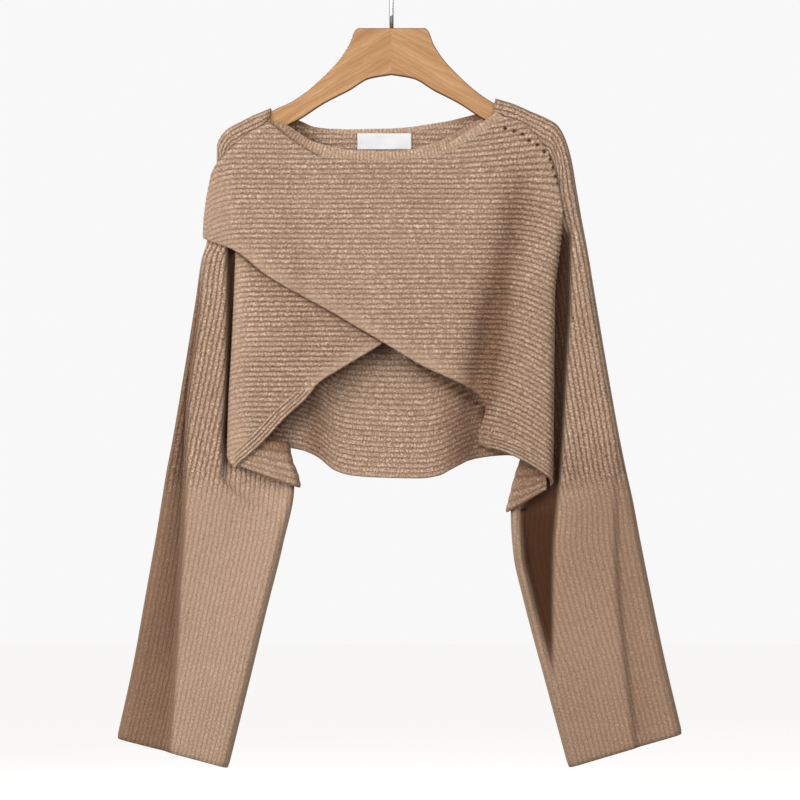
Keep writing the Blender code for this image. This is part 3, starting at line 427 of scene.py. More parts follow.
def ramp(tree, share, first, *middle, last):
    """A colour read between stops, each a place and a colour."""
    made = node(tree, "ShaderNodeValToRGB", share)
    stops = made.color_ramp.elements
    stops[0].position, stops[0].color = first
    stops[1].position, stops[1].color = last
    for place, colour in middle:
        stops.new(place).color = colour
    return made.outputs["Color"]


def noise(tree, place, scale, detail=2.0, roughness=0.5, output="Fac"):
    made = node(tree, "ShaderNodeTexNoise", place, None, scale, detail, roughness)
    return Field(tree, made.outputs[output])


def new_group(name, takes, gives):
    """An empty node group with named inputs and outputs."""
    tree = bpy.data.node_groups.new(name, "ShaderNodeTree")
    for direction, sockets in (("INPUT", takes), ("OUTPUT", gives)):
        for label, kind in sockets:
            tree.interface.new_socket(label, in_out=direction, socket_type="NodeSocket" + kind)
    return tree, tree.nodes.new("NodeGroupInput").outputs, tree.nodes.new("NodeGroupOutput").inputs


def stitch_group():
    """Rows of knitted stitches: x of the place counts stitches along a rib, y counts ribs."""
    tree, given, result = new_group(
        "knit_stitches", [("Place", "Vector"), ("Lean", "Float"), ("Wobble", "Vector")],
        [("Height", "Float"), ("Shadow", "Float")])
    moved = node(tree, "ShaderNodeVectorMath", given["Place"], given["Wobble"], operation="ADD")
    along, across, _ = split(tree, moved.outputs[0])
    off_top = abs(across.math("FRACT") - 0.5) * 2.0
    leaned = off_top * given["Lean"] + along + across.math("FLOOR") * 0.37
    lump = abs((leaned * math.pi).math("SINE")) ** 0.8
    between = (1.0 - lump) ** 2.0
    groove = off_top ** 2.2 * (between * 0.80 + 0.50)
    feed(tree, result["Height"], (1.0 - off_top ** 2.6) * (lump * 0.6 + 0.4))
    feed(tree, result["Shadow"], between * 0.30 + groove)
    return tree


def yarn_group():
    """Heathered yarn: light and dark flecks, loose fibres, and a slow drift of tone."""
    tree, given, result = new_group(
        "heathered_yarn", [("Place", "Vector"), ("Fleck size", "Float")],
        [("Fleck", "Float"), ("Fibre", "Float"), ("Drift", "Float"), ("Wobble", "Vector")])
    place = given["Place"]
    feed(tree, result["Fleck"], noise(tree, place, given["Fleck size"], 2.0, 0.6))
    feed(tree, result["Fibre"], noise(tree, place, 2600.0, 1.0))
    feed(tree, result["Drift"], noise(tree, place, 9.0))
    stray = noise(tree, place, 330.0, 2.0, 0.6, "Color")
    centred = node(tree, "ShaderNodeVectorMath", stray, (0.5, 0.5, 0.5), operation="SUBTRACT")
    scaled = node(tree, "ShaderNodeVectorMath", centred.outputs[0], (2.6, 0.9, 0.0), operation="MULTIPLY")
    feed(tree, result["Wobble"], scaled.outputs[0])
    return tree


def new_material(name):
    mat = bpy.data.materials.new(name)
    mat.use_nodes = True
    return mat, mat.node_tree, mat.node_tree.nodes["Principled BSDF"]


def settle(tree, shader, **values):
    """Feed the shader's own sockets."""
    for name, value in values.items():
        feed(tree, shader.inputs[name.replace("_", " ")], value)


def raise_surface(tree, shader, height, strength, depth):
    """Fine relief, depth metres high."""
    bump = node(tree, "ShaderNodeBump", strength, depth)
    feed(tree, bump.inputs["Height"], height)
    feed(tree, shader.inputs["Normal"], bump.outputs[0])


# The first colour is painted shadow for the grooves between stitches and ribs; the next three are the
# yarn's own flecks.
KNIT_GROOVE_SHADOW = (0.090, 0.036, 0.014, 1.0)
KNIT_LOW = (0.33, 0.205, 0.132, 1.0)
KNIT_MID = (0.48, 0.327, 0.226, 1.0)
KNIT_LIGHT = (0.76, 0.575, 0.45, 1.0)
KNIT_SHADE = (0.30, 0.18, 0.105, 1.0)       # what a fold's shade multiplies the yarn by
# Painted shade colour for eyelets, deep folds and the line under a cloth's edge.
KNIT_HOLLOW_SHADE = (0.050, 0.018, 0.007, 1.0)
FLECKS = 430.0          # flecks of the yarn in a metre


def knit_material(name, groups, relief, shadows, lean):
    """Camel knit: relief of the stitches in metres, strength of their shadows, and their lean."""
    mat, tree, shader = new_material(name)
    place = node(tree, "ShaderNodeTexCoord").outputs["Object"]
    rows = node(tree, "ShaderNodeUVMap", uv_map="stitches").outputs[0]
    yarn = node(tree, "ShaderNodeGroup", place, FLECKS, node_tree=groups["yarn"]).outputs
    fleck, fibre, drift = (Field(tree, yarn[label]) for label in ("Fleck", "Fibre", "Drift"))
    stitch = node(tree, "ShaderNodeGroup", rows, lean, yarn["Wobble"], node_tree=groups["stitch"]).outputs
    calm, hollow, shade = (
        Field(tree, node(tree, "ShaderNodeAttribute", attribute_name=label).outputs["Fac"])
        for label in ("calm", "hollow", "shade"))
    strong = 1.0 - calm * 0.6
    deep = (fleck * 3.0 - 0.5) * stitch["Shadow"] * shadows * strong
    held = node(tree, "ShaderNodeClamp", deep, 0.0, 0.92).outputs[0]
    tone = ramp(tree, fleck, (0.32, KNIT_LOW), (0.5, KNIT_MID), last=(0.68, KNIT_LIGHT))
    even = mixed(tree, calm ** 3.0 * 0.6, tone, KNIT_MID)
    # Calm knit is painted darker as shade, standing in for the groove shadows it lacks; drift is the yarn's
    # own slow change of tone.
    bright = node(tree, "ShaderNodeHueSaturation", None, None, drift * 0.24 - calm * 0.20 + 0.90, None,
                  mixed(tree, held, even, KNIT_GROOVE_SHADOW)).outputs[0]
    dimmed = mixed(tree, shade, bright, KNIT_SHADE, "MULTIPLY")
    raise_surface(tree, shader, (fibre * 0.22 + stitch["Height"]) * strong, 1.0, relief)
    settle(tree, shader, Base_Color=mixed(tree, hollow, dimmed, KNIT_HOLLOW_SHADE), Roughness=0.96 - fleck * 0.12,
           Sheen_Weight=0.10, Sheen_Roughness=0.5, Sheen_Tint=(0.9, 0.68, 0.5, 1.0),
           Specular_IOR_Level=0.1)
    return mat


BEECH_LOW = (0.34, 0.17, 0.068, 1.0)
BEECH_LIGHT = (0.465, 0.268, 0.128, 1.0)
BEECH_GRAIN = (0.22, 0.098, 0.036, 1.0)
BEECH_EDGE_SHADE = (0.10, 0.04, 0.014, 1.0)


def beech_material():
    """Lacquered beech: grain runs along each arm and meets in a point at the middle; painted shade darkens
    faces that turn downwards and the rounded rims.
    """
    mat, tree, shader = new_material("lacquered_beech")
    x, y, z = split(tree, node(tree, "ShaderNodeTexCoord").outputs["Object"])
    side = abs(x)
    lengthways = side * 0.875 - z * 0.485 + x.math("SIGN") * 0.31
    across = side * 0.485 + z * 0.875
    drawn = node(tree, "ShaderNodeCombineXYZ", lengthways * 0.11, across, y).outputs[0]
    broad = noise(tree, drawn, 95.0, 3.0, 0.6)
    bands = (across * 900.0 + broad * 26.0).math("SINE") * 0.5 + 0.5
    pores = noise(tree, drawn, 1500.0, 2.0, 0.7)
    base = ramp(tree, broad, (0.3, BEECH_LOW), last=(0.7, BEECH_LIGHT))
    lined = mixed(tree, bands * 0.28, base, BEECH_GRAIN)
    grained = mixed(tree, pores.math("GREATER_THAN", 0.62) * 0.25, lined, BEECH_GRAIN)
    # Painted shade: darker where the wood faces downwards and along its rounded rims.
    _, outward, upward = split(tree, node(tree, "ShaderNodeNewGeometry").outputs["True Normal"])
    below = upward.math("MULTIPLY_ADD", -1.6, -0.25, clamp=True)
    rim = abs(abs(outward) - 0.55).math("MULTIPLY_ADD", -2.4, 0.95, clamp=True)
    raise_surface(tree, shader, pores * 0.6 + bands, 0.35, 0.0002)
    settle(tree, shader, Base_Color=mixed(tree, below.math("MAXIMUM", rim), grained, BEECH_EDGE_SHADE),
           Roughness=broad * 0.12 + rim * 0.4 + 0.36, Coat_Weight=0.05, Coat_Roughness=0.3,
           Specular_IOR_Level=0.25)
    return mat


def wire_material():
    """Drawn steel wire with faint lengthways streaks."""
    mat, tree, shader = new_material("drawn_steel")
    place = node(tree, "ShaderNodeTexCoord").outputs["Object"]
    drawn = node(tree, "ShaderNodeMapping", place, None, None, (900.0, 900.0, 40.0)).outputs[0]
    streak = noise(tree, drawn, 1.0)
    tone = ramp(tree, streak, (0.3, (0.34, 0.34, 0.35, 1.0)), last=(0.7, (0.58, 0.58, 0.60, 1.0)))
    raise_surface(tree, shader, streak, 0.2, 0.0001)
    settle(tree, shader, Base_Color=tone, Roughness=noise(tree, place, 220.0) * 0.2 + 0.18, Metallic=1.0)
    return mat


def label_material():
    """White woven ribbon, left bare."""
    mat, tree, shader = new_material("white_ribbon")
    place = node(tree, "ShaderNodeTexCoord").outputs["Object"]
    x, _, z = split(tree, place)
    weave = (x * 9000.0).math("SINE") * (z * 7000.0).math("SINE")
    cloud = noise(tree, place, 60.0)
    tone = mixed(tree, cloud * 0.5 + weave * 0.08, (0.70, 0.70, 0.71, 1.0), (0.50, 0.50, 0.52, 1.0))
    raise_surface(tree, shader, cloud * 2.0 + weave, 0.4, 0.0002)
    settle(tree, shader, Base_Color=tone, Roughness=cloud * 0.2 + 0.45, Sheen_Weight=0.2)
    return mat


# ---------------------------------------------------------------- meshes
def linked(name, data):
    """A new object of the scene."""
    obj = bpy.data.objects.new(name, data)
    bpy.context.collection.objects.link(obj)
    return obj


def add_object(name, points, faces, mat):
    """Make an object from millimetre points, its faces turned outwards."""
    mesh = bpy.data.meshes.new(name)
    mesh.from_pydata((np.asarray(points, float) * MM).tolist(), [], faces)
    mesh.materials.append(mat)
    bm = bmesh.new()
    bm.from_mesh(mesh)
    if bm.calc_volume(signed=True) < 0:
        bmesh.ops.reverse_faces(bm, faces=bm.faces[:])
    bm.to_mesh(mesh)
    bm.free()
    mesh.shade_smooth()
    return linked(name, mesh)


# What is known of a point of cloth, and what holds unless a piece says otherwise: stitches along
# the rib, ribs, distance along and from the nearest corded edge in mm, how calm the knit is, and
# how much painted shade darkens the spot in hollows and in folds.
MARKS = {"along": 0.0, "across": 0.0, "edge_run": 0.0, "edge_off": 99.0,
         "calm": 0.0, "hollow": 0.0, "shade": 0.0}
LOOKS = ("calm", "hollow", "shade")


def marked(shape, **values):
    """The marks of a grid of points, along the last axis."""
    columns = [np.broadcast_to(values.get(label, usual), shape) for label, usual in MARKS.items()]
    return np.stack(columns, axis=-1)


class Cloth:
    """A closed wall of cloth from patches, with its marks kept at every point."""

    def __init__(self):
        self.points, self.marks, self.known, self.faces, self.rims = [], [], {}, [], {}

    def index(self, side, point, mark):
        key = (side, *(round(float(c), 3) for c in point))
        if key not in self.known:
            self.known[key] = len(self.points)
            self.points.append(point)
            self.marks.append(mark)
        return self.known[key]

    def add_face(self, loop):
        kept = [v for i, v in enumerate(loop) if v != loop[i - 1]]
        if len(set(kept)) == len(kept) and len(kept) > 2:
            self.faces.append(kept)

    def add_rim(self, loop):
        """Close the wall's edge, but not where two patches meet."""
        kept = [v for i, v in enumerate(loop) if v != loop[i - 1]]
        key = frozenset(kept)
        if self.rims.pop(key, None) is None and len(key) > 2:
            self.rims[key] = kept

    def add_patch(self, outer, inner, marks, columns, behind=None):
        """outer and inner are full grids; the inner face uses only the given columns.

        behind holds the inner face's own marks, where they differ.
        """
        behind = marks if behind is None else behind
        rows, count = outer.shape[:2]
        o = [[self.index("outer", outer[r, c], marks[r, c]) for c in range(count)] for r in range(rows)]
        n = [{c: self.index("inner", inner[r, c], behind[r, c]) for c in columns} for r in range(rows)]
        for r in range(rows - 1):
            for c in range(count - 1):
                self.add_face([o[r][c], o[r][c + 1], o[r + 1][c + 1], o[r + 1][c]])
            for c0, c1 in zip(columns, columns[1:]):
                self.add_face([n[r][c0], n[r + 1][c0], n[r + 1][c1], n[r][c1]])
            last = count - 1
            self.add_rim([o[r][0], o[r + 1][0], n[r + 1][0], n[r][0]])
            self.add_rim([o[r + 1][last], o[r][last], n[r][last], n[r + 1][last]])
        for c0, c1 in zip(columns, columns[1:]):
            across = range(c0, c1 + 1)
            self.add_rim([o[0][c] for c in reversed(across)] + [n[0][c0], n[0][c1]])
            self.add_rim([o[-1][c] for c in across] + [n[-1][c1], n[-1][c0]])

    def finish(self, name, mat):
        obj = add_object(name, self.points, self.faces + list(self.rims.values()), mat)
        mark_stitches(obj.data, np.array(self.marks, float))
        return obj


def one_patch(name, mat, *patch):
    """A wall of cloth from a single patch."""
    cloth = Cloth()
    cloth.add_patch(*patch)
    return cloth.finish(name, mat)


def every_other(count):
    """Every second one of the columns, and the last."""
    return sorted({*range(0, count, 2), count - 1})


def mark_stitches(mesh, marks):
    """Lay the stitch map: along the ribs, and along the cords beside a corded edge."""
    corner = np.zeros(len(mesh.loops), np.int64)
    mesh.loops.foreach_get("vertex_index", corner)
    size = np.zeros(len(mesh.polygons), np.int64)
    mesh.polygons.foreach_get("loop_total", size)
    owner = np.repeat(np.arange(len(size)), size)
    mark = dict(zip(MARKS, marks[corner].T))
    beside = np.bincount(owner, mark["edge_off"]) / size < CORDS * CORD_PITCH
    corded = beside[owner]
    u = np.where(corded, mark["edge_run"] / STITCH, mark["along"])
    v = np.where(corded, mark["edge_off"] / CORD_PITCH, mark["across"])
    layer = mesh.uv_layers.new(name="stitches")
    layer.uv.foreach_set("vector", np.stack([u, v], axis=-1).astype(np.float32).ravel())
    for label, column in zip(MARKS, marks.T):
        if label in LOOKS:
            values = mesh.attributes.new(label, "FLOAT", "POINT")
            values.data.foreach_set("value", column.astype(np.float32))


def two_faces(middle, normal, rise, sink):
    """Outer and inner points of a wall about its middle."""
    return middle + normal * rise[..., None], middle - normal * sink[..., None]


def wall_sides(surface, q, z, rise, sink, facing):
    """Outer and inner points of a wall about surface(q, z); facing is -1 for a back."""
    step = 0.25
    across = surface(q + step, z) - surface(q - step, z)
    up = surface(q, z + step) - surface(q, z - step)
    return two_faces(surface(q, z), unit(np.cross(across, up) * facing), rise, sink)


# ---------------------------------------------------------------- panels
def levels_of(tilt, path):
    """Rib level of each point of a path: the height its rib has where the row is level."""
    level = path["z"].copy()
    for _ in range(12):
        level = path["z"] - tilt(path["q"], level)
    return {"level": level, **path}


def neck_sides(neck):
    """The neck edge as a left and a right path, both from the shoulder down to the lowest point."""
    low = int(np.argmin(neck["level"]))
    left = {name: column[:low + 1] for name, column in neck.items()}
    right = {name: column[low:][::-1] for name, column in neck.items()}
    return left, right


def row_levels(top, middle, bottom):
    """Levels from top to bottom, one of them at middle, and how many ribs each is below it."""
    half = RIB_PITCH / 2
    above = max(1, int((top - middle) / half - 0.4))
    upper = [top] + [middle + half * k / SUB for k in range(above * SUB, 0, -1)]
    count = max(1, round((middle - bottom) / half))
    lower = middle - (middle - bottom) * np.arange(count * SUB + 1) / (count * SUB)
    levels = np.concatenate([upper, lower])
    phase = np.where(levels > middle, (middle - levels) / RIB_PITCH,
                     (middle - levels) / (middle - bottom) * count / 2)
    return levels, phase


def spread(start, end, count, beads):
    """Places from start to end: beads are set distances from the start, the rest is even."""
    scale = min(1.0, abs(end - start) / (1.5 * beads[-1] + 20.0)) * math.copysign(1.0, end - start)
    head = [start + scale * d for d in beads]
    return np.array(head + list(np.linspace(head[-1], end, count + 1))[1:])


def border_of(*paths):
    """Points every half millimetre along paths, with distance run, and each path's kind."""
    points, kinds = [], []
    for path, kind in paths:
        path = np.asarray(path, float)
        for a, b in zip(path, path[1:]):
            count = max(1, int(np.linalg.norm(b - a) / 0.5))
            points += [a + (b - a) * k / count for k in range(count)]
            kinds += [kind] * count
    points = np.array(points)
    tree = kdtree.KDTree(len(points))
    for i, (x, z) in enumerate(points):
        tree.insert((x, z, 0.0), i)
    tree.balance()
    return {"tree": tree, "run": run_of(points), "kind": np.array(kinds)}


def nearest(border, q, z):
    """For every point: distance from the border, distance run along it, and that part's kind."""
    found = np.array([border["tree"].find((x, y, 0.0))[1:] for x, y in zip(q.ravel(), z.ravel())])
    index = found[:, 0].astype(int)
    shape = q.shape
    return [column.reshape(shape) for column in (found[:, 1], border["run"][index], border["kind"][index])]


SEWN, FREE, BANDED = 0, 1, 2    # kinds of edge


def panel_grids(tilt, left, right, neck, bottom, columns, beads, free_below, banded_from=-200.0):
    """A panel's flat places and heights, as a left and a right grid, with its border's marks."""
    left, right, neck = (levels_of(tilt, path) for path in (left, right, neck))
    sides = neck_sides(neck)
    low = sides[0]["level"][-1]
    low_left, low_right = at(left, "level", low, "q"), at(right, "level", low, "q")
    share = (sides[0]["q"][-1] - low_left) / (low_right - low_left)
    grids = []
    for half in (0, 1):
        top = (left, right)[half]["level"][0]
        levels, phase = row_levels(top, low, bottom)
        start, end = at(left, "level", levels, "q"), at(right, "level", levels, "q")
        middle = start + share * (end - start)
        middle = np.where(levels >= low, at(sides[half], "level", levels, "q"), middle)
        outer_edge = (start, end)[half]
        q = np.array([spread(e, m, columns[half], beads[half]) for e, m in zip(outer_edge, middle)])
        q = q[:, ::-1] if half else q
        z = levels[:, None] + tilt(q, levels[:, None])
        grids.append({"q": q, "z": z, "phase": phase[:, None], "levels": levels, "low": low})
    hem = np.concatenate([pairs(grid)[-1] for grid in grids])
    bound = pairs(neck)
    bare = int(np.searchsorted(bound[:, 0], banded_from))
    outline = []
    for path in (left, right):
        points = pairs(path)
        cut = int(np.searchsorted(-path["z"], -free_below[len(outline) // 2]))
        outline += [(points[:cut + 1], SEWN), (points[cut:], FREE)]
    outline += [(hem, FREE), (bound[:bare + 1], SEWN), (bound[bare:], BANDED)]
    border = border_of(*[p for p in outline if len(p[0]) > 1])
    for grid in grids:
        grid["off"], grid["run"], kind = nearest(border, grid["q"], grid["z"])
        grid["free"], grid["banded"] = (kind == FREE) * 1.0, (kind == BANDED) * 1.0
        for label in ("corded", *LOOKS):
            grid[label] = np.zeros(grid["q"].shape)
        grid["inner_ribs"] = 1.0
    return grids


def close_shade(grid, edge, share):
    """Painted shade under a cloth's edge: a thin dark line on the cloth behind, and a soft shade round it.
    """
    distance = nearest(border_of((edge, FREE)), grid["q"], grid["z"])[0]
    grid["hollow"] = np.maximum(grid["hollow"], 0.6 * hump(distance, 0.0, 1.8))
    grid["shade"] = np.maximum(grid["shade"], share * np.exp(-distance / 7.0))


def wander(q, level):
    """Slow, small unevenness of hand-made rows, in ribs."""
    return 0.035 * np.sin(q / 27.0 + level / 61.0) + 0.03 * np.sin(q / 61.0 - level / 23.0 + 1.3)


def uneven(q, phase):
    """Ribs a little higher here and lower there."""
    rib = np.floor(phase)
    return 1.0 + 0.10 * np.sin(q / 19.0 + rib * 2.4) + 0.08 * np.sin(q / 7.3 + rib * 5.1)


def panel_relief(grid, extra=None):
    """Height of the knit's outer and inner face over its middle, and its stitch marks."""
    q, off, free = grid["q"], grid["off"], grid["free"]
    phase = grid["phase"] + wander(q, grid["levels"][:, None]) * smooth(off / 12.0)
    rows = RIB * ridge(phase) * uneven(q, phase) * smooth(off / 3.0)
    patches = np.sin(q / 23.0 + 2.0 * np.sin(grid["z"] / 31.0)) * np.sin(grid["z"] / 19.0 + q / 57.0)
    grid["calm"] = np.minimum(grid["calm"] + 0.22 * (0.5 + 0.5 * patches), 1.0)
    rows = rows * (1 - 0.6 * grid["calm"])
    corded = grid["corded"] * free * (1 - smooth((off - CORDS * CORD_PITCH) / 1.5))
    cords = 1.5 * ridge(off / CORD_PITCH) * smooth(off / 1.5)
    stitched = 0.55 + 0.45 * np.abs(np.sin(math.pi * grid["run"] / STITCH))
    bead = 0.8 * free * stitched * hump(off, 1.5, 1.0)
    lift = (rows + bead) * (1 - corded) + cords * corded
    if extra is not None:
        lift = extra(grid, lift)
    round_off = rounding(np.maximum(off / EDGE_ROUND, grid["banded"]))
    rise = (WALL / 2 + lift) * round_off
    inner = 0.8 * RIB * ridge(phase + 0.5) * smooth(off / 6.0)
    sink = (WALL / 2) * round_off + inner * grid["inner_ribs"]
    beside = np.where(corded > 0.5, off, 99.0)
    looks = {label: grid[label] for label in LOOKS}
    return rise, sink, marked(q.shape, along=q / STITCH, across=phase, edge_run=grid["run"],
                              edge_off=beside, **looks)


def build_panel(name, mat, grids, surface, facing, extra=None):
    cloth = Cloth()
    for grid in grids:
        rise, sink, marks = panel_relief(grid, extra)
        outer, inner = wall_sides(surface, grid["q"], grid["z"], rise, sink, facing)
        plain = marks * [label not in ("hollow", "shade") for label in MARKS]
        seen, unseen = (marks, plain) if facing > 0 else (plain, marks)
        cloth.add_patch(outer, inner, seen, every_other(grid["q"].shape[1]), unseen)
    return cloth.finish(name, mat)


FOLD_ACROSS = 9.0       # half axis of the turn at a side fold, along x
FOLD_DEEP = 12.0        # and along y
OVER_TURN_DEEP = 18.0   # the same along y where the upper front turns round the left sleeve
EDGE_AIR = 1.2          # between a folded edge and the sleeve it rests on
NOWHERE = -700.0        # below the panels: the edge is sewn all the way down
SLANTED = slice(11, 17)     # the rows of OVER_LEFT on the long slanted edge
# Places of the columns beside an edge, from the edge.
FINE_EDGE = (0.0, 1.0, 2.2, 3.6, 5.2, 7.0, 9.0, 11.5, 14.5, 18.0, 22.0)
SEWN_EDGE = (0.0, 1.2, 2.5, 3.8, 5.0, 6.2, 7.4, 8.6, 9.8, 11.0, 12.4, 14.0, 16.5, 20.0)
FOLDED_EDGE = (0.0, 1.2, 2.6, 4.5, 7.0, 10.0)
BACK_EDGE = (0.0, 1.2, 2.8, 5.0, 8.0)


def fold_radius(deep):
    return math.sqrt((FOLD_ACROSS ** 2 + deep ** 2) / 2)


def over_tilt(q, level):
    """Ribs rise to the right shoulder, droop at both sides and follow the hem at the lower right."""
    rise = 16.0 * smooth((level + 290.0) / 90.0) * np.clip((q - 60.0) / 110.0, 0, 1.3) ** 1.5
    deeper = smooth((-290.0 - level) / 290.0)
    start = 150.0 - 45.0 * deeper
    droop = (10.0 * smooth((-250.0 - level) / 60.0) + 30.0 * deeper) \
        * np.clip((q - start) / (193.0 - start), 0, 1.15) ** 1.7
    left = 13.0 * smooth((-225.0 - level) / 40.0) * np.clip((-180.0 - q) / 45.0, 0, 1) ** 2
    return rise - droop - left


def over_layer(q, z):
    """Distance of the upper front from the lower one: less beside its sewn edges."""
    left_seam = np.interp(-z, -OVER_LEFT["z"][:11], OVER_LEFT["q"][:11])
    right_seam = np.interp(-z, -OVER_RIGHT["z"], OVER_RIGHT["q"])
    near_left = (1 - smooth((q - left_seam) / 14.0)) * (z > -300)
    near_right = (1 - smooth((right_seam - q) / 14.0)) * (1 - smooth((-275.0 - z) / 40.0))
    return LAYER - (LAYER - LAP_LAYER) * np.clip(np.maximum(near_left, near_right), 0, 1)


def over_flat(q, z):
    return front_depth(q, z) + over_layer(q, z)


def turn_of(fold, side, z):
    """Where a front begins to turn back at its side fold."""
    return at(fold, "z", z, "x") - side * (FOLD_ACROSS + WALL / 2 + RIB)


def turned_back(x, y, q, z, fold, side, depth):
    """Take what lies beyond a front's side fold round a quarter turn and straight back."""
    turn = turn_of(fold, side, z)
    past = np.maximum(side * (q - turn), 0.0)
    radius = fold_radius(FOLD_DEEP)
    angle = np.minimum(past / radius, math.pi / 2)
    back = FOLD_DEEP * (1 - np.cos(angle)) + past - angle * radius
    x = np.where(past > 0, turn + side * FOLD_ACROSS * np.sin(angle), x)
    return np.stack([x, np.where(past > 0, back - depth(turn, z), y), z], axis=-1)


def over_surface(q, z):
    """Middle of the upper front: flat over the body, round the left sleeve, folded at the right."""
    turn = at(OVER_FOLD_LEFT, "z", z, "x") + FOLD_ACROSS + WALL
    past, radius = np.maximum(turn - q, 0.0), fold_radius(OVER_TURN_DEEP)
    angle = np.minimum(past / radius, math.pi)
    x = np.where(past > 0, turn - FOLD_ACROSS * np.sin(angle) + past - angle * radius, q)
    y = np.where(past > 0, -over_flat(turn, z) * np.cos(angle), -over_flat(q, z))
    return turned_back(x, y, q, z, OVER_FOLD_RIGHT, 1, over_flat)


def sleeve_floor(sleeve, x, z):
    """Distance in front of the hanger's plane at which an edge rests on a sleeve's inner part."""
    recess = at(sleeve, "iz", z, "recess")
    return float(front_depth(np.array(x), np.array(float(z))) - recess + WALL / 2 + RIB + EDGE_AIR)


def folded_edge(fold, side, depth, sleeve, heights):
    """Flat places of an edge that turns back at a side fold until it meets the sleeve under it."""
    rows = []
    for z in heights:
        turn = float(turn_of(fold, side, z))
        floor = sleeve_floor(sleeve, turn + side * FOLD_ACROSS, z)
        deep = max(0.0, float(depth(np.array(turn), np.array(float(z)))) - floor)
        angle = math.acos(max(1.0 - deep / FOLD_DEEP, 0.0))
        turned = fold_radius(FOLD_DEEP) * angle + max(0.0, deep - FOLD_DEEP)
        rows.append((turn + side * turned, z))
    return rows


def seam_edge(sleeve, rows, side, air=0.6):
    """Flat places of an edge sewn to a sleeve, on the body's side of the seam."""
    return [(sleeve["ix"][r] - side * air, sleeve["iz"][r]) for r in range(rows)]


def smooth_edges(left, right, neck):
    """A panel's side edges and the neck edge between their tops, as smooth lines."""
    neck = {k: np.concatenate([left[k][:1], neck[k], right[k][:1]]) for k in neck}
    return [rounded(path, "q", "z") for path in (left, right, neck)]


def over_calm(q, z, off, free):
    """The ribs are flatter along the slanted edge and where the cloth wraps the left sleeve."""
    wrapped = (1 - smooth((q + 200.0) / 26.0)) * smooth((-238.0 - z) / 40.0)
    slanted = free * (1 - smooth((off - 9.0) / 16.0)) * (q < 108.0)
    middle = 0.35 * (1 - smooth((q - 70.0) / 70.0))
    return 0.75 * np.maximum(np.maximum(wrapped, slanted), middle)


def build_over(mat):
    heights = (-318, -330, -355, -385, -430, -500, -560, -632)
    edge = folded_edge(OVER_FOLD_RIGHT, 1, over_flat, SLEEVE_RIGHT, heights)
    right = table("q z", *pairs(OVER_RIGHT), *edge)
    bottom = float(levels_of(over_tilt, OVER_LEFT)["level"][-1])
    left, right, neck = smooth_edges(OVER_LEFT, right, OVER_NECK)
    grids = panel_grids(over_tilt, left, right, neck, bottom, columns=(34, 44),
                        beads=(FINE_EDGE, SEWN_EDGE), free_below=(-336.0, NOWHERE), banded_from=-86.0)
    for grid in grids:
        holes = np.zeros(grid["q"].shape)
        for x, z in EYELETS:
            distance = np.hypot(grid["q"] - x, grid["z"] - z)
            side = (distance - EYELET_RADIUS + EYELET_SLOPE) / (2 * EYELET_SLOPE)
            holes = np.maximum(holes, 1 - smooth(side))
        # The eyelets are sunk into the cloth and darkened with painted shade.
        grid["hollow"] = holes
        grid["inner_ribs"] = 0.3
        grid["corded"] = smooth((-560.0 - grid["z"]) / 8.0) * smooth((grid["q"] - 112.0) / 8.0)
        grid["calm"] = over_calm(grid["q"], grid["z"], grid["off"], grid["free"])
        # Painted shade in the groove along the sewn neck edge at the left shoulder.
        seam = smooth((-84.0 - grid["q"]) / 8.0) * smooth((grid["z"] + 250.0) / 8.0)
        seam = 0.7 * seam * (grid["off"] < 6.0) * hump(grid["off"], 0.0, 1.3)
        grid["shade"] = np.clip(folds(FRONT_SHADES, grid["q"], grid["z"]), seam, 0.72)
    sunk = lambda grid, lift: lift * (1 - grid["hollow"]) - EYELET_DEEP * grid["hollow"]
    return build_panel("front_over_knit", mat, grids, over_surface, 1.0, sunk), grids


def under_tilt(q, level):
    """Ribs of the lower front droop a little at its left fold."""
    return -7.0 * smooth((-330.0 - level) / 60.0) * np.clip((-165.0 - q) / 35.0, 0, 1) ** 2


def under_surface(q, z):
    return turned_back(q, -front_depth(q, z), q, z, UNDER_FOLD_LEFT, -1, front_depth)


def under_relief(grid, lift):
    """Plain where the upper front covers it."""
    seen_from = np.interp(grid["q"], OVER_LEFT["q"][SLANTED], OVER_LEFT["z"][SLANTED])
    return lift * (1 - smooth((grid["z"] - seen_from - 14.0) / 10.0))


def build_under(mat):
    heights = (-344, -362, -411, -462, -530, -584, -598)
    edge = folded_edge(UNDER_FOLD_LEFT, -1, front_depth, SLEEVE_LEFT, heights)
    left = table("q z", *seam_edge(SLEEVE_LEFT, 8, -1, 1.2), *edge, (-194, -606), (-187.5, -611))
    right = table("q z", *seam_edge(SLEEVE_RIGHT, 9, 1), *UNDER_EDGE)
    left, right, neck = smooth_edges(left, right, UNDER_NECK)
    grids = panel_grids(under_tilt, left, right, neck, UNDER_EDGE[-1][1], columns=(44, 40),
                        beads=(FOLDED_EDGE, FINE_EDGE), free_below=(NOWHERE, -332.0))
    slanted = pairs(OVER_LEFT)[SLANTED]
    for grid in grids:
        grid["corded"] = smooth((-508.0 - grid["z"]) / 18.0) * smooth((grid["z"] + 610.5) / 9.0)
        slack = grid["free"] * (1 - smooth((grid["off"] - 6.0) / 12.0)) * (1 - grid["corded"])
        beside = 1 - smooth((grid["q"] + 186.0) / 26.0)
        grid["calm"] = 0.8 * np.maximum(slack, beside)
        grid["shade"] = folds(FRONT_SHADES, grid["q"], grid["z"])
        close_shade(grid, slanted, 0.6)
    return build_panel("front_under_knit", mat, grids, under_surface, 1.0, under_relief), grids


def back_tilt(q, level):
    """Ribs of the back follow its hem, less and less towards the top."""
    hem = np.interp(q, SMOOTH_HEM["q"], SMOOTH_HEM["z"])
    return smooth((-330.0 - level) / 260.0) * (hem - BACK_HEM_LEVEL)


SMOOTH_HEM = rounded(BACK_HEM, "q", "z")


def back_surface(q, z):
    return np.stack([q, back_depth(q, z), z], axis=-1)


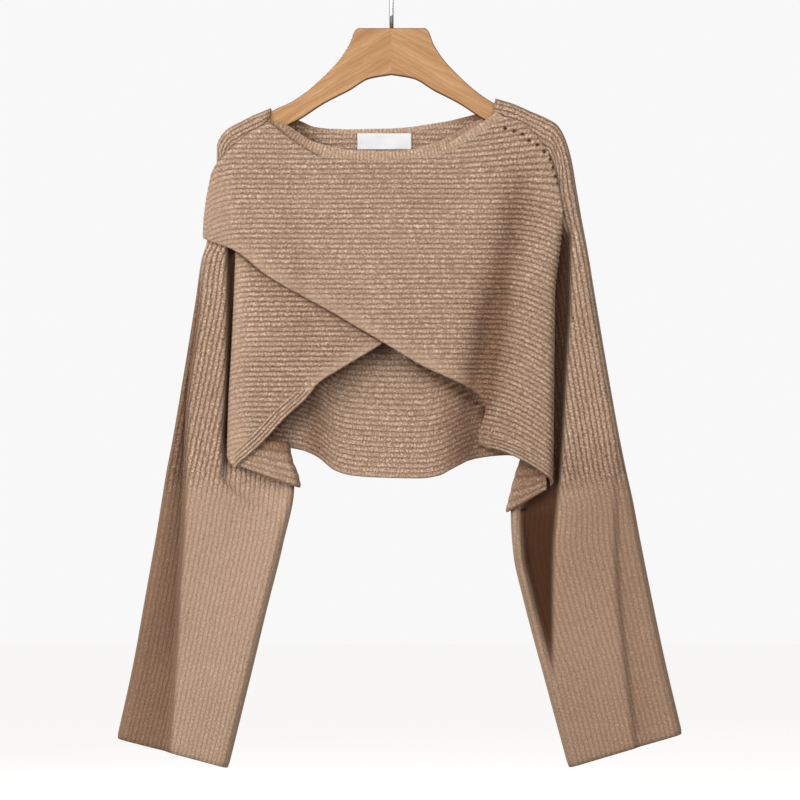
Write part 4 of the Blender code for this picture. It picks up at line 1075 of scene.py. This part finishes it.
def build_back(mat):
    left = table("q z", *seam_edge(SLEEVE_LEFT, 12, -1), (-192, -574))
    right = table("q z", *seam_edge(SLEEVE_RIGHT, 13, 1), (187, -606))
    left, right, neck = smooth_edges(left, right, BACK_NECK)
    grids = panel_grids(back_tilt, left, right, neck, BACK_HEM_LEVEL, columns=(50, 50),
                        beads=(BACK_EDGE, BACK_EDGE), free_below=(NOWHERE, NOWHERE))
    over_edge = [*pairs(OVER_LEFT)[15:], (150.0, -604.0)]
    for grid in grids:
        grid["shade"] = folds(BACK_SHADES, grid["q"], grid["z"])
        close_shade(grid, over_edge, 0.85)
        close_shade(grid, UNDER_EDGE[3:], 0.8)
        grid["calm"] = 0.5 * grid["free"] * (1 - smooth((grid["off"] - 3.0) / 8.0))
    return build_panel("back_panel_knit", mat, grids, back_surface, -1.0), grids


# ---------------------------------------------------------------- sleeves
def trough_share(row, side, run):
    """How near a place is to the long fold's foot, from 0 at the sleeve's outer edge to 1."""
    return np.clip(run / np.maximum(side * (row["ox"] - row["ridge"]) - RIDGE_WIDTH, 4.0), 0, 1)


RIGHT_SHADE = 0.25      # painted shade over the right sleeve's lower half, which hangs in softer light


def sleeve_shades(rows, side, middle):
    """Painted shade at a sleeve's points: in the fold beside the body, and along the long fold."""
    row = {name: column[:, None] for name, column in rows.items()}
    x, run = middle[..., 0], np.abs(middle[..., 0] - row["ox"])
    front = middle[..., 1] < 0
    strip = 1 - row["closed"] * (1 - smooth((np.abs(x - row["ix"]) - 6.0) / 8.0))
    hollow = smooth(side * (row["step"] - x) / STEP_WIDTH + 0.25) * smooth(row["recess"] / 9.0) * strip
    hollow = hollow * (0.90 + 0.07 * row["closed"])
    if side < 0:
        hollow = hollow * smooth((middle[..., 2] + 622.0) / 50.0)
    shade = 0.62 * smooth(side * (x - row["ridge"]) / 6.0 + 0.3) * smooth(row["drop"] / 6.0)
    if side > 0:
        low = smooth((-560.0 - middle[..., 2]) / 60.0)
        shade = RIGHT_SHADE * low + 0.3 * shade * trough_share(row, side, run)
    return hollow * front, shade * front


def half_section(row, side, back):
    """Points of a sleeve's front or back half from its outer edge inwards, with their arc length."""
    wide = math.hypot(row["ix"] - row["ox"], row["iz"] - row["oz"])
    run = wide * (1 - np.cos(np.linspace(0, math.pi, 161))) / 2
    x = row["ox"] + (row["ix"] - row["ox"]) * run / wide
    z = row["oz"] + (row["iz"] - row["oz"]) * run / wide
    nose = quarter(run / row["nose"])
    inner = 1 - row["closed"] + row["closed"] * quarter((wide - run) / INNER_NOSE)
    share = 1 - row["thin"] * smooth((run - wide + THIN_OUT) / THIN_OVER)
    beyond_ridge = smooth(side * (x - row["ridge"]) / RIDGE_WIDTH)
    if back:
        depth = share * back_depth(x, z) - BACK_TROUGH * row["drop"] * hump(run, 0.55 * wide, 15.0)
    else:
        strip = 1 - row["closed"] * (1 - smooth((wide - run - 3.0) / 13.0))
        in_fold = smooth(side * (row["step"] - x) / STEP_WIDTH) * strip
        trough = beyond_ridge * (0.3 + 0.8 * trough_share(row, side, run) ** 2)
        depth = share * front_depth(x, z) - row["drop"] * trough - row["recess"] * in_fold
    y = np.maximum(depth * nose * inner, row["closed"] * run / wide * SEAM)
    y = y if back else -y
    points = np.stack([x, y, z], axis=-1)
    return points, run_of(points)


def section_points(row, side, count, pitch):
    """Points about a sleeve at one place: count columns each way from the outer edge."""
    halves = []
    for back in (True, False):
        points, length = half_section(row, side, back)
        step = length[-1] / count if row["closed"] > 0.999 else pitch
        wanted = np.minimum(np.arange(count + 1) * step, length[-1])
        halves.append(np.stack([np.interp(wanted, length, points[:, k]) for k in range(3)], axis=-1))
    return np.concatenate([halves[0][::-1], halves[1][1:]])


def sleeve_normals(middle, along):
    """Unit normals of a section grid, taken from the nearest points that differ from each."""
    normal = np.zeros(middle.shape)
    for r, line in enumerate(middle):
        apart = np.linalg.norm(np.diff(line, axis=0), axis=1) > 1e-6
        real = np.concatenate([[0], np.flatnonzero(apart) + 1])
        facing = unit(np.cross(np.gradient(line[real], axis=0), along[r][real]))
        normal[r] = facing[np.searchsorted(real, np.arange(len(line)), side="right") - 1]
    return normal


def sleeve_rows(sleeve):
    """A sleeve's table read every few millimetres along it; a tube stays a tube."""
    middle = {"x": (sleeve["ox"] + sleeve["ix"]) / 2, "z": (sleeve["oz"] + sleeve["iz"]) / 2}
    outer = np.hypot(np.diff(sleeve["ox"]), np.diff(sleeve["oz"]))
    central = np.hypot(np.diff(middle["x"]), np.diff(middle["z"]))
    run = np.concatenate([[0.0], np.cumsum((outer + central) / 2)])
    want = np.unique(np.concatenate([np.linspace(0, run[-1], round(run[-1] / 5.5)), run]))
    rows = {name: flow(run, column, want) for name, column in sleeve.items()}
    return rows, want


def build_sleeve(name, mat, sleeve, side):
    """A sleeve from the neck to the cuff: ribs run along it, and its edges meet under the arm."""
    first_closed = int(np.argmax(sleeve["closed"]))
    first = {k: v[first_closed] for k, v in sleeve.items()}
    _, length = half_section(first, side, False)
    count = 2 * SUB * round(length[-1] / RIB_PITCH)
    pitch = length[-1] / count
    rows, run = sleeve_rows(sleeve)
    sections = [dict(zip(rows, values)) for values in zip(*rows.values())]
    middle = np.array([section_points(row, side, count, pitch) for row in sections])
    normal = sleeve_normals(middle, np.gradient(middle, axis=0)) * -side
    phase = np.arange(-count, count + 1)[None, :] / (2 * SUB)
    seam_gap = np.minimum(np.linalg.norm(middle - middle[:, :1], axis=2),
                          np.linalg.norm(middle - middle[:, -1:], axis=2))
    cuff_gap = (run[-1] - run)[:, None]
    calm = smooth((-606.0 - middle[..., 2]) / 45.0)
    steady = 1.0 + 0.12 * np.sin(middle[..., 2] / 17.0 + np.floor(phase) * 2.1)
    rib = RIB * ridge(phase) * steady * (1 - 0.35 * calm)
    rib = rib * smooth(seam_gap / 5.0) * (1 - rows["plain"][:, None]) * smooth((cuff_gap - 1.0) / 5.0)
    round_off = rounding(np.minimum(seam_gap, cuff_gap) / EDGE_ROUND)
    rise = (WALL / 2 + rib + 0.5 * hump(cuff_gap, 1.8, 1.2)) * round_off
    outer, inner = two_faces(middle, normal, rise, WALL / 2 * round_off)
    hollow, shade = sleeve_shades(rows, side, middle)
    marks = marked(calm.shape, along=run[:, None] / STITCH, across=phase, calm=calm,
                   hollow=hollow, shade=shade)
    return one_patch(name, mat, outer, inner, marks, range(0, 2 * count + 1, SUB)), middle


# ---------------------------------------------------------------- narrow pieces
def neck_line(grids):
    """The neck edge of a panel, shoulder to shoulder, as flat places and heights."""
    left, right = (pairs(grid)[grid["levels"] >= grid["low"]] for grid in grids)
    return np.concatenate([left[:, -1], right[::-1, 0][1:]])


def even_line(line, spacing):
    """The same line with points at even distances."""
    run = run_of(line)
    want = np.linspace(0, run[-1], max(2, round(run[-1] / spacing)) + 1)
    return np.stack([np.interp(want, run, column) for column in line.T], axis=-1), want


BAND_PITCH = 4.3        # from rib to rib of a neck band
BAND_LAP = 1.2          # a strip's foot lies this far over its panel
BAND_TURN = 18.0        # over which a band's ribs turn to line up with its end
# Strips along the neck, between two flat places: width, and the slope of the cloth's cut at each
# end, from the foot of the strip to its top. shade is how much painted shade darkens it towards the
# shoulders.
NECK_BANDS = table(
    "start end width first_q first_z last_q last_z grows shade",
    (-90, 134, 9.65, 0, 0, -8.4, 5.3, 26, 0),
    (-143.5, 116, 12.2, -2.0, 10.0, -6.0, 9.0, 0, 0.35),
    (-145, 120, 5.65, 0, 5.65, 0, 5.65, 0, 0.7),
)


def build_band(name, mat, line, surface, facing, band):
    """A rib strip that stands on a neck edge, its ribs across the strip."""
    line = line[(line[:, 0] >= band["start"]) & (line[:, 0] <= band["end"])]
    fine, run = even_line(line, BAND_PITCH / 6)
    along = np.gradient(fine, axis=0)
    for _ in range(8):
        along[1:-1] = (along[:-2] + 2 * along[1:-1] + along[2:]) / 4
    along = unit(along)
    upward = np.stack([-along[:, 1], along[:, 0]], axis=-1)
    share = np.array([0.0, 0.06, 0.16, 0.34, 0.56, 0.78, 0.92, 1.0])[:, None]
    across = upward * band["width"]
    for label, gone in (("first", run), ("last", run[-1] - run)):
        cut = np.array([band[label + "_q"], band[label + "_z"]])
        if cut.any():
            across += (1 - smooth(gone / BAND_TURN))[:, None] * (cut - across)
    grown = smooth(run / band["grows"] + 0.02) if band["grows"] else np.ones(len(fine))
    across *= grown[:, None]
    foot = fine - upward * BAND_LAP
    flat = foot[None] + (across + upward * BAND_LAP)[None] * share[..., None]
    q, z = flat[::-1, :, 0], flat[::-1, :, 1]
    share = share[::-1]
    to_end = np.minimum(run, run[-1] - run)[None, :]
    round_off = np.sqrt(1 - np.maximum(2 * share - 1, 0) ** 4 * 0.8) * smooth(0.4 + to_end / 4.0)
    rib = 0.6 * ridge(run / BAND_PITCH)[None, :] * np.sin(math.pi * np.clip(share, 0.1, 0.9))
    outer, inner = wall_sides(surface, q, z, (WALL / 2 + rib) * round_off, WALL / 2 * round_off, facing)
    marks = marked(q.shape, along=band["width"] * share / STITCH, across=run / BAND_PITCH, calm=0.7,
                   shade=band["shade"] * smooth((76.0 - to_end) / 60.0))
    return one_patch(name, mat, outer, inner, marks, every_other(len(fine)))


def build_gusset(name, mat, gusset, side):
    """The short piece under an arm: it comes in from the body's side, folds and goes back."""
    ribs, sub = 5, 6
    rows = ribs * sub + 1
    place = np.linspace(0, len(gusset["x_out"]) - 1, rows)
    stations = np.arange(len(gusset["x_out"]), dtype=float)
    row = {k: flow(stations, v, place)[:, None] for k, v in gusset.items()}
    straight = np.linspace(0, 1, 17)[None, :]
    turn = np.linspace(0, math.pi, 19)[None, 1:-1]
    x_turn = row["x_fold"] + side * (GUSSET_TURN + WALL / 2)
    x_flat = row["x_out"] + (x_turn - row["x_out"]) * straight
    x_behind = x_turn + side * GUSSET_BACK * np.linspace(0, 1, 6)[None, :]
    x = np.concatenate([x_flat, x_turn - side * GUSSET_TURN * np.sin(turn), x_behind], axis=1)
    middle, half = (row["back"] - row["front"]) / 2, (row["back"] + row["front"]) / 2
    front = row["out"] + (row["front"] - row["out"]) * smooth(1.6 * straight)
    y = np.concatenate([-front, middle - half * np.cos(turn), row["back"] * np.ones((1, 6))], axis=1)
    share = (x - row["x_out"]) / (row["x_fold"] - row["x_out"])
    z = row["z_out"] + (row["z_fold"] - row["z_out"]) * share
    centre = np.stack([x, y, z], axis=-1)
    normal = unit(np.cross(np.gradient(centre, axis=1), np.gradient(centre, axis=0)) * side)
    count = np.arange(rows)[:, None]
    phase = count / sub
    round_off = rounding(np.minimum(count, rows - 1 - count) / 2.0)
    rise = (WALL / 2 + RIB * 0.5 * ridge(phase)) * round_off
    outer, inner = two_faces(centre, normal, rise, WALL / 2 * round_off)
    run = np.array([run_of(line) for line in centre])
    marks = marked(x.shape, along=run / STITCH, across=phase, calm=0.6, shade=row["shade"])
    return one_patch(name, mat, outer, inner, marks, range(x.shape[1]))


def build_label(mat):
    """The bare label, lying on the inner face of the back under its neck band."""
    q, z = np.meshgrid(np.linspace(LABEL_LEFT, LABEL_RIGHT, 53), np.linspace(LABEL_TOP, LABEL_BOTTOM, 17))
    near = back_surface(q, z)
    front = near.copy()
    ripple = 0.5 * np.sin(q / 5.2 + z / 9.0) * np.sin(z / 6.1 + 0.4) + 0.35 * np.sin(q / 14.0 - z / 5.0)
    lift = 0.9 + ripple * smooth((q - LABEL_LEFT) / 6) * smooth((LABEL_RIGHT - q) / 6)
    near[..., 1] -= WALL / 2 + SEAM + RIB * 0.5 + lift
    front[..., 1] -= WALL / 2 + SEAM + RIB * 0.5 + LABEL_WALL * 0.6 + lift
    marks = marked(q.shape, along=q, across=z)
    return one_patch("ribbon_label", mat, front, near, marks, range(q.shape[1]))


# ---------------------------------------------------------------- hanger and hook
def build_hanger(mat):
    top = rounded(HANGER_TOP, "x", "z", 3.0)
    under = rounded(HANGER_UNDER, "x", "z", 3.0)
    right = list(zip(top["x"], top["z"])) + list(zip(under["x"], under["z"]))
    outline = right + [(-x, z) for x, z in reversed(right[:-1])]
    count = len(outline)
    points = [(x, y, z) for y in (-HANGER_HALF, HANGER_HALF) for x, z in outline]
    faces = [list(range(count)), list(range(2 * count - 1, count - 1, -1))]
    faces += [[(i + 1) % count, i, count + i, count + (i + 1) % count] for i in range(count)]
    obj = add_object("beech_hanger", points, faces, mat)
    bevel = obj.modifiers.new("rounded_edges", "BEVEL")
    bevel.width = HANGER_EDGE * MM
    bevel.segments = 4
    bevel.limit_method = "ANGLE"
    bevel.angle_limit = math.radians(60)
    bevel.harden_normals = True
    return obj


def hook_line():
    """Centre line of the hook: from its tip over the top, round to the bend and down the stem."""
    radius = HOOK_INNER + HOOK_WIRE
    drop = math.sqrt((radius + HOOK_BEND) ** 2 - HOOK_BEND ** 2)
    over = np.linspace(math.radians(HOOK_TIP_DEGREES), math.atan2(-drop, -HOOK_BEND) % (2 * math.pi), 49)
    bend = np.linspace(over[-1] - math.pi, 0, 13)[1:]
    x = np.concatenate([radius * np.cos(over), HOOK_BEND * (np.cos(bend) - 1), [0.0, 0.0]])
    z = np.concatenate([radius * np.sin(over) - HOOK_INNER, HOOK_BEND * np.sin(bend) - HOOK_INNER - drop,
                        [(WOOD_TOP - HOOK_INNER - drop) / 2, WOOD_TOP + SEAM]])
    return np.stack([x, 0 * x, z], axis=-1)


def build_hook(mat):
    line = hook_line()
    along = unit(np.gradient(line, axis=0))
    beside = np.stack([-along[:, 2], 0 * along[:, 0], along[:, 0]], axis=-1)
    turns = np.linspace(0, 2 * math.pi, HOOK_SIDES, endpoint=False)[None, :, None]
    wide = np.full((len(line), 1, 1), HOOK_WIRE)
    wide[0] *= HOOK_TIP_SHARE
    points = line[:, None] + wide * np.cos(turns) * beside[:, None]
    points = points + wide * np.sin(turns) * np.array([0.0, 1.0, 0.0])
    rings = np.arange(len(line) * HOOK_SIDES).reshape(len(line), HOOK_SIDES).tolist()
    faces = [rings[0][::-1], rings[-1]]
    for a, b in zip(rings, rings[1:]):
        faces += [[a[k - 1], a[k], b[k], b[k - 1]] for k in range(HOOK_SIDES)]
    return add_object("steel_hook", points.reshape(-1, 3), faces, mat)


# ---------------------------------------------------------------- the whole object
def flat_size(*grids):
    """Width, length and area in metres of the cut that flat grids of places and heights cover."""
    q = np.concatenate([g["q"].ravel() for g in grids])
    z = np.concatenate([g["z"].ravel() for g in grids])
    area = 0.0
    for g in grids:
        corners = pairs(g)
        a, b = corners[1:, 1:] - corners[:-1, :-1], corners[1:, :-1] - corners[:-1, 1:]
        area += float(np.abs(a[..., 0] * b[..., 1] - a[..., 1] * b[..., 0]).sum() / 2)
    return (float(np.ptp(q)) * MM, float(np.ptp(z)) * MM), area * MM * MM


def round_size(middle):
    """The same for a sleeve, from its section grid: unrolled width, length and area."""
    across = np.linalg.norm(np.diff(middle, axis=1), axis=2).sum(axis=1)
    down = np.linalg.norm(np.diff(middle, axis=0), axis=2)
    middle_down = down[:, down.shape[1] // 2]
    area = float(((across[1:] + across[:-1]) / 2 * middle_down).sum())
    return (float(across.max()) * MM, float(middle_down.sum()) * MM), area * MM * MM


def dress(obj, node_name, cut=None):
    """Put a piece in its CAD node's place; cut, a cloth's flat size and area, is not used."""
    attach(obj, "root")
    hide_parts(node_name)
    if cut is not None:
        size, area = cut
        min(max(area, 0.31 * size[0] * size[1]), size[0] * size[1])


def measured(obj, width):
    """Cut of a narrow strip or small piece: its length is its area over its width."""
    area = sum(face.area for face in obj.data.polygons) / 2
    return (width * MM, area / (width * MM)), area


FLOOR_HALF, FLOOR_Z = 9.0, -1.35
GLOW = 0.775            # of the floor, as the camera sees it


def build_stage():
    mesh = bpy.data.meshes.new("floor")
    corners = [(x * FLOOR_HALF, y * FLOOR_HALF, FLOOR_Z) for x, y in ((-1, -1), (1, -1), (1, 1), (-1, 1))]
    mesh.from_pydata(corners, [], [(0, 1, 2, 3)])
    mat, tree, shader = new_material("pale_floor")
    settle(tree, shader, Base_Color=(0.30, 0.30, 0.30, 1.0), Roughness=0.9, Emission_Strength=GLOW,
           Emission_Color=node(tree, "ShaderNodeLightPath").outputs["Is Camera Ray"])
    mesh.materials.append(mat)
    linked("floor", mesh)


AMBIENT = 0.42          # even light from all round
BACKDROP = 0.94         # what the camera sees behind
AIM = Vector((0.0, 0.0, -0.5))
# Round soft lights: place, width in metres and power in watts.
LIGHTS = {
    "key": ((-2.3, -2.8, 0.7), 2.8, 164.0),
    "fill": ((1.6, -2.8, 0.4), 1.6, 40.0),
    "rear": ((-1.6, 2.8, 1.2), 1.4, 110.0),
}


def build_light():
    world = bpy.data.worlds.new("studio")
    world.use_nodes = True
    tree = world.node_tree
    seen = Field(tree, node(tree, "ShaderNodeLightPath").outputs["Is Camera Ray"])
    settle(tree, tree.nodes["Background"], Strength=seen * (BACKDROP - AMBIENT) + AMBIENT,
           Color=mixed(tree, seen, (1.0, 0.95, 0.90, 1.0), (1.0, 1.0, 1.0, 1.0)))
    bpy.context.scene.world = world
    for name, (place, size, power) in LIGHTS.items():
        light = bpy.data.lights.new(name, "AREA")
        light.shape, light.size, light.energy = "DISK", size, power
        obj = linked(name, light)
        obj.location = place
        obj.rotation_euler = (AIM - Vector(place)).to_track_quat("-Z", "Y").to_euler()
    bpy.context.scene.view_settings.view_transform = "Standard"


SENSOR = 36.0
SEEN_WIDTH = 0.96       # metres across the picture at the place it looks at
LOOKS_AT = (0.0102, -0.006, -0.5304)
DISTANCE = 5.0


def build_camera():
    camera = bpy.data.cameras.new("camera")
    camera.sensor_width = SENSOR
    camera.lens = SENSOR * DISTANCE / SEEN_WIDTH
    camera.clip_end = 60.0
    obj = linked("camera", camera)
    obj.location = (LOOKS_AT[0], LOOKS_AT[1] - DISTANCE, LOOKS_AT[2])
    obj.rotation_euler = (math.pi / 2, 0.0, 0.0)
    bpy.context.scene.camera = obj


# Each knit's relief in metres, the strength of its shadows, and the lean of its stitches.
KNITS = {
    "camel_rib_knit": (0.0018, 1.0, 0.35),
    "camel_rib_knit_sleeve": (0.0018, 1.2, 0.35),
    "camel_knit_band": (0.0012, 0.70, 0.2),
}
GUSSET_CUT = 30.0       # width of a gusset's cut
BAND_CUT = 10.5         # and of the narrowest band's


def main():
    groups = {"stitch": stitch_group(), "yarn": yarn_group()}
    body, sleeve, band = (knit_material(name, groups, *values) for name, values in KNITS.items())
    over, over_grids = build_over(body)
    under, under_grids = build_under(body)
    back, back_grids = build_back(body)
    dress(over, "front_over", flat_size(*over_grids))
    dress(under, "front_under", flat_size(*under_grids))
    dress(back, "back_panel", flat_size(*back_grids))
    for name, rows, side in (("left", SLEEVE_LEFT, -1), ("right", SLEEVE_RIGHT, 1)):
        piece, middle = build_sleeve(f"sleeve_{name}_knit", sleeve, rows, side)
        dress(piece, f"sleeve_{name}", round_size(middle))
    for i, (name, grids, surface, facing) in enumerate((
            ("over", over_grids, over_surface, 1.0), ("under", under_grids, under_surface, 1.0),
            ("back", back_grids, back_surface, -1.0))):
        sizes = {label: column[i] for label, column in NECK_BANDS.items()}
        piece = build_band(f"neck_band_{name}_knit", band, neck_line(grids), surface, facing, sizes)
        dress(piece, f"neck_band_{name}", measured(piece, max(BAND_CUT, sizes["width"] + WALL)))
    for name, rows, side in (("left", GUSSET_LEFT, -1), ("right", GUSSET_RIGHT, 1)):
        piece = build_gusset(f"side_gusset_{name}_knit", body, rows, side)
        dress(piece, f"side_gusset_{name}", measured(piece, GUSSET_CUT))
    label = build_label(label_material())
    dress(label, "label", measured(label, LABEL_TOP - LABEL_BOTTOM))
    dress(build_hanger(beech_material()), "hanger")
    dress(build_hook(wire_material()), "hook")
    build_stage()
    build_light()
    build_camera()


main()
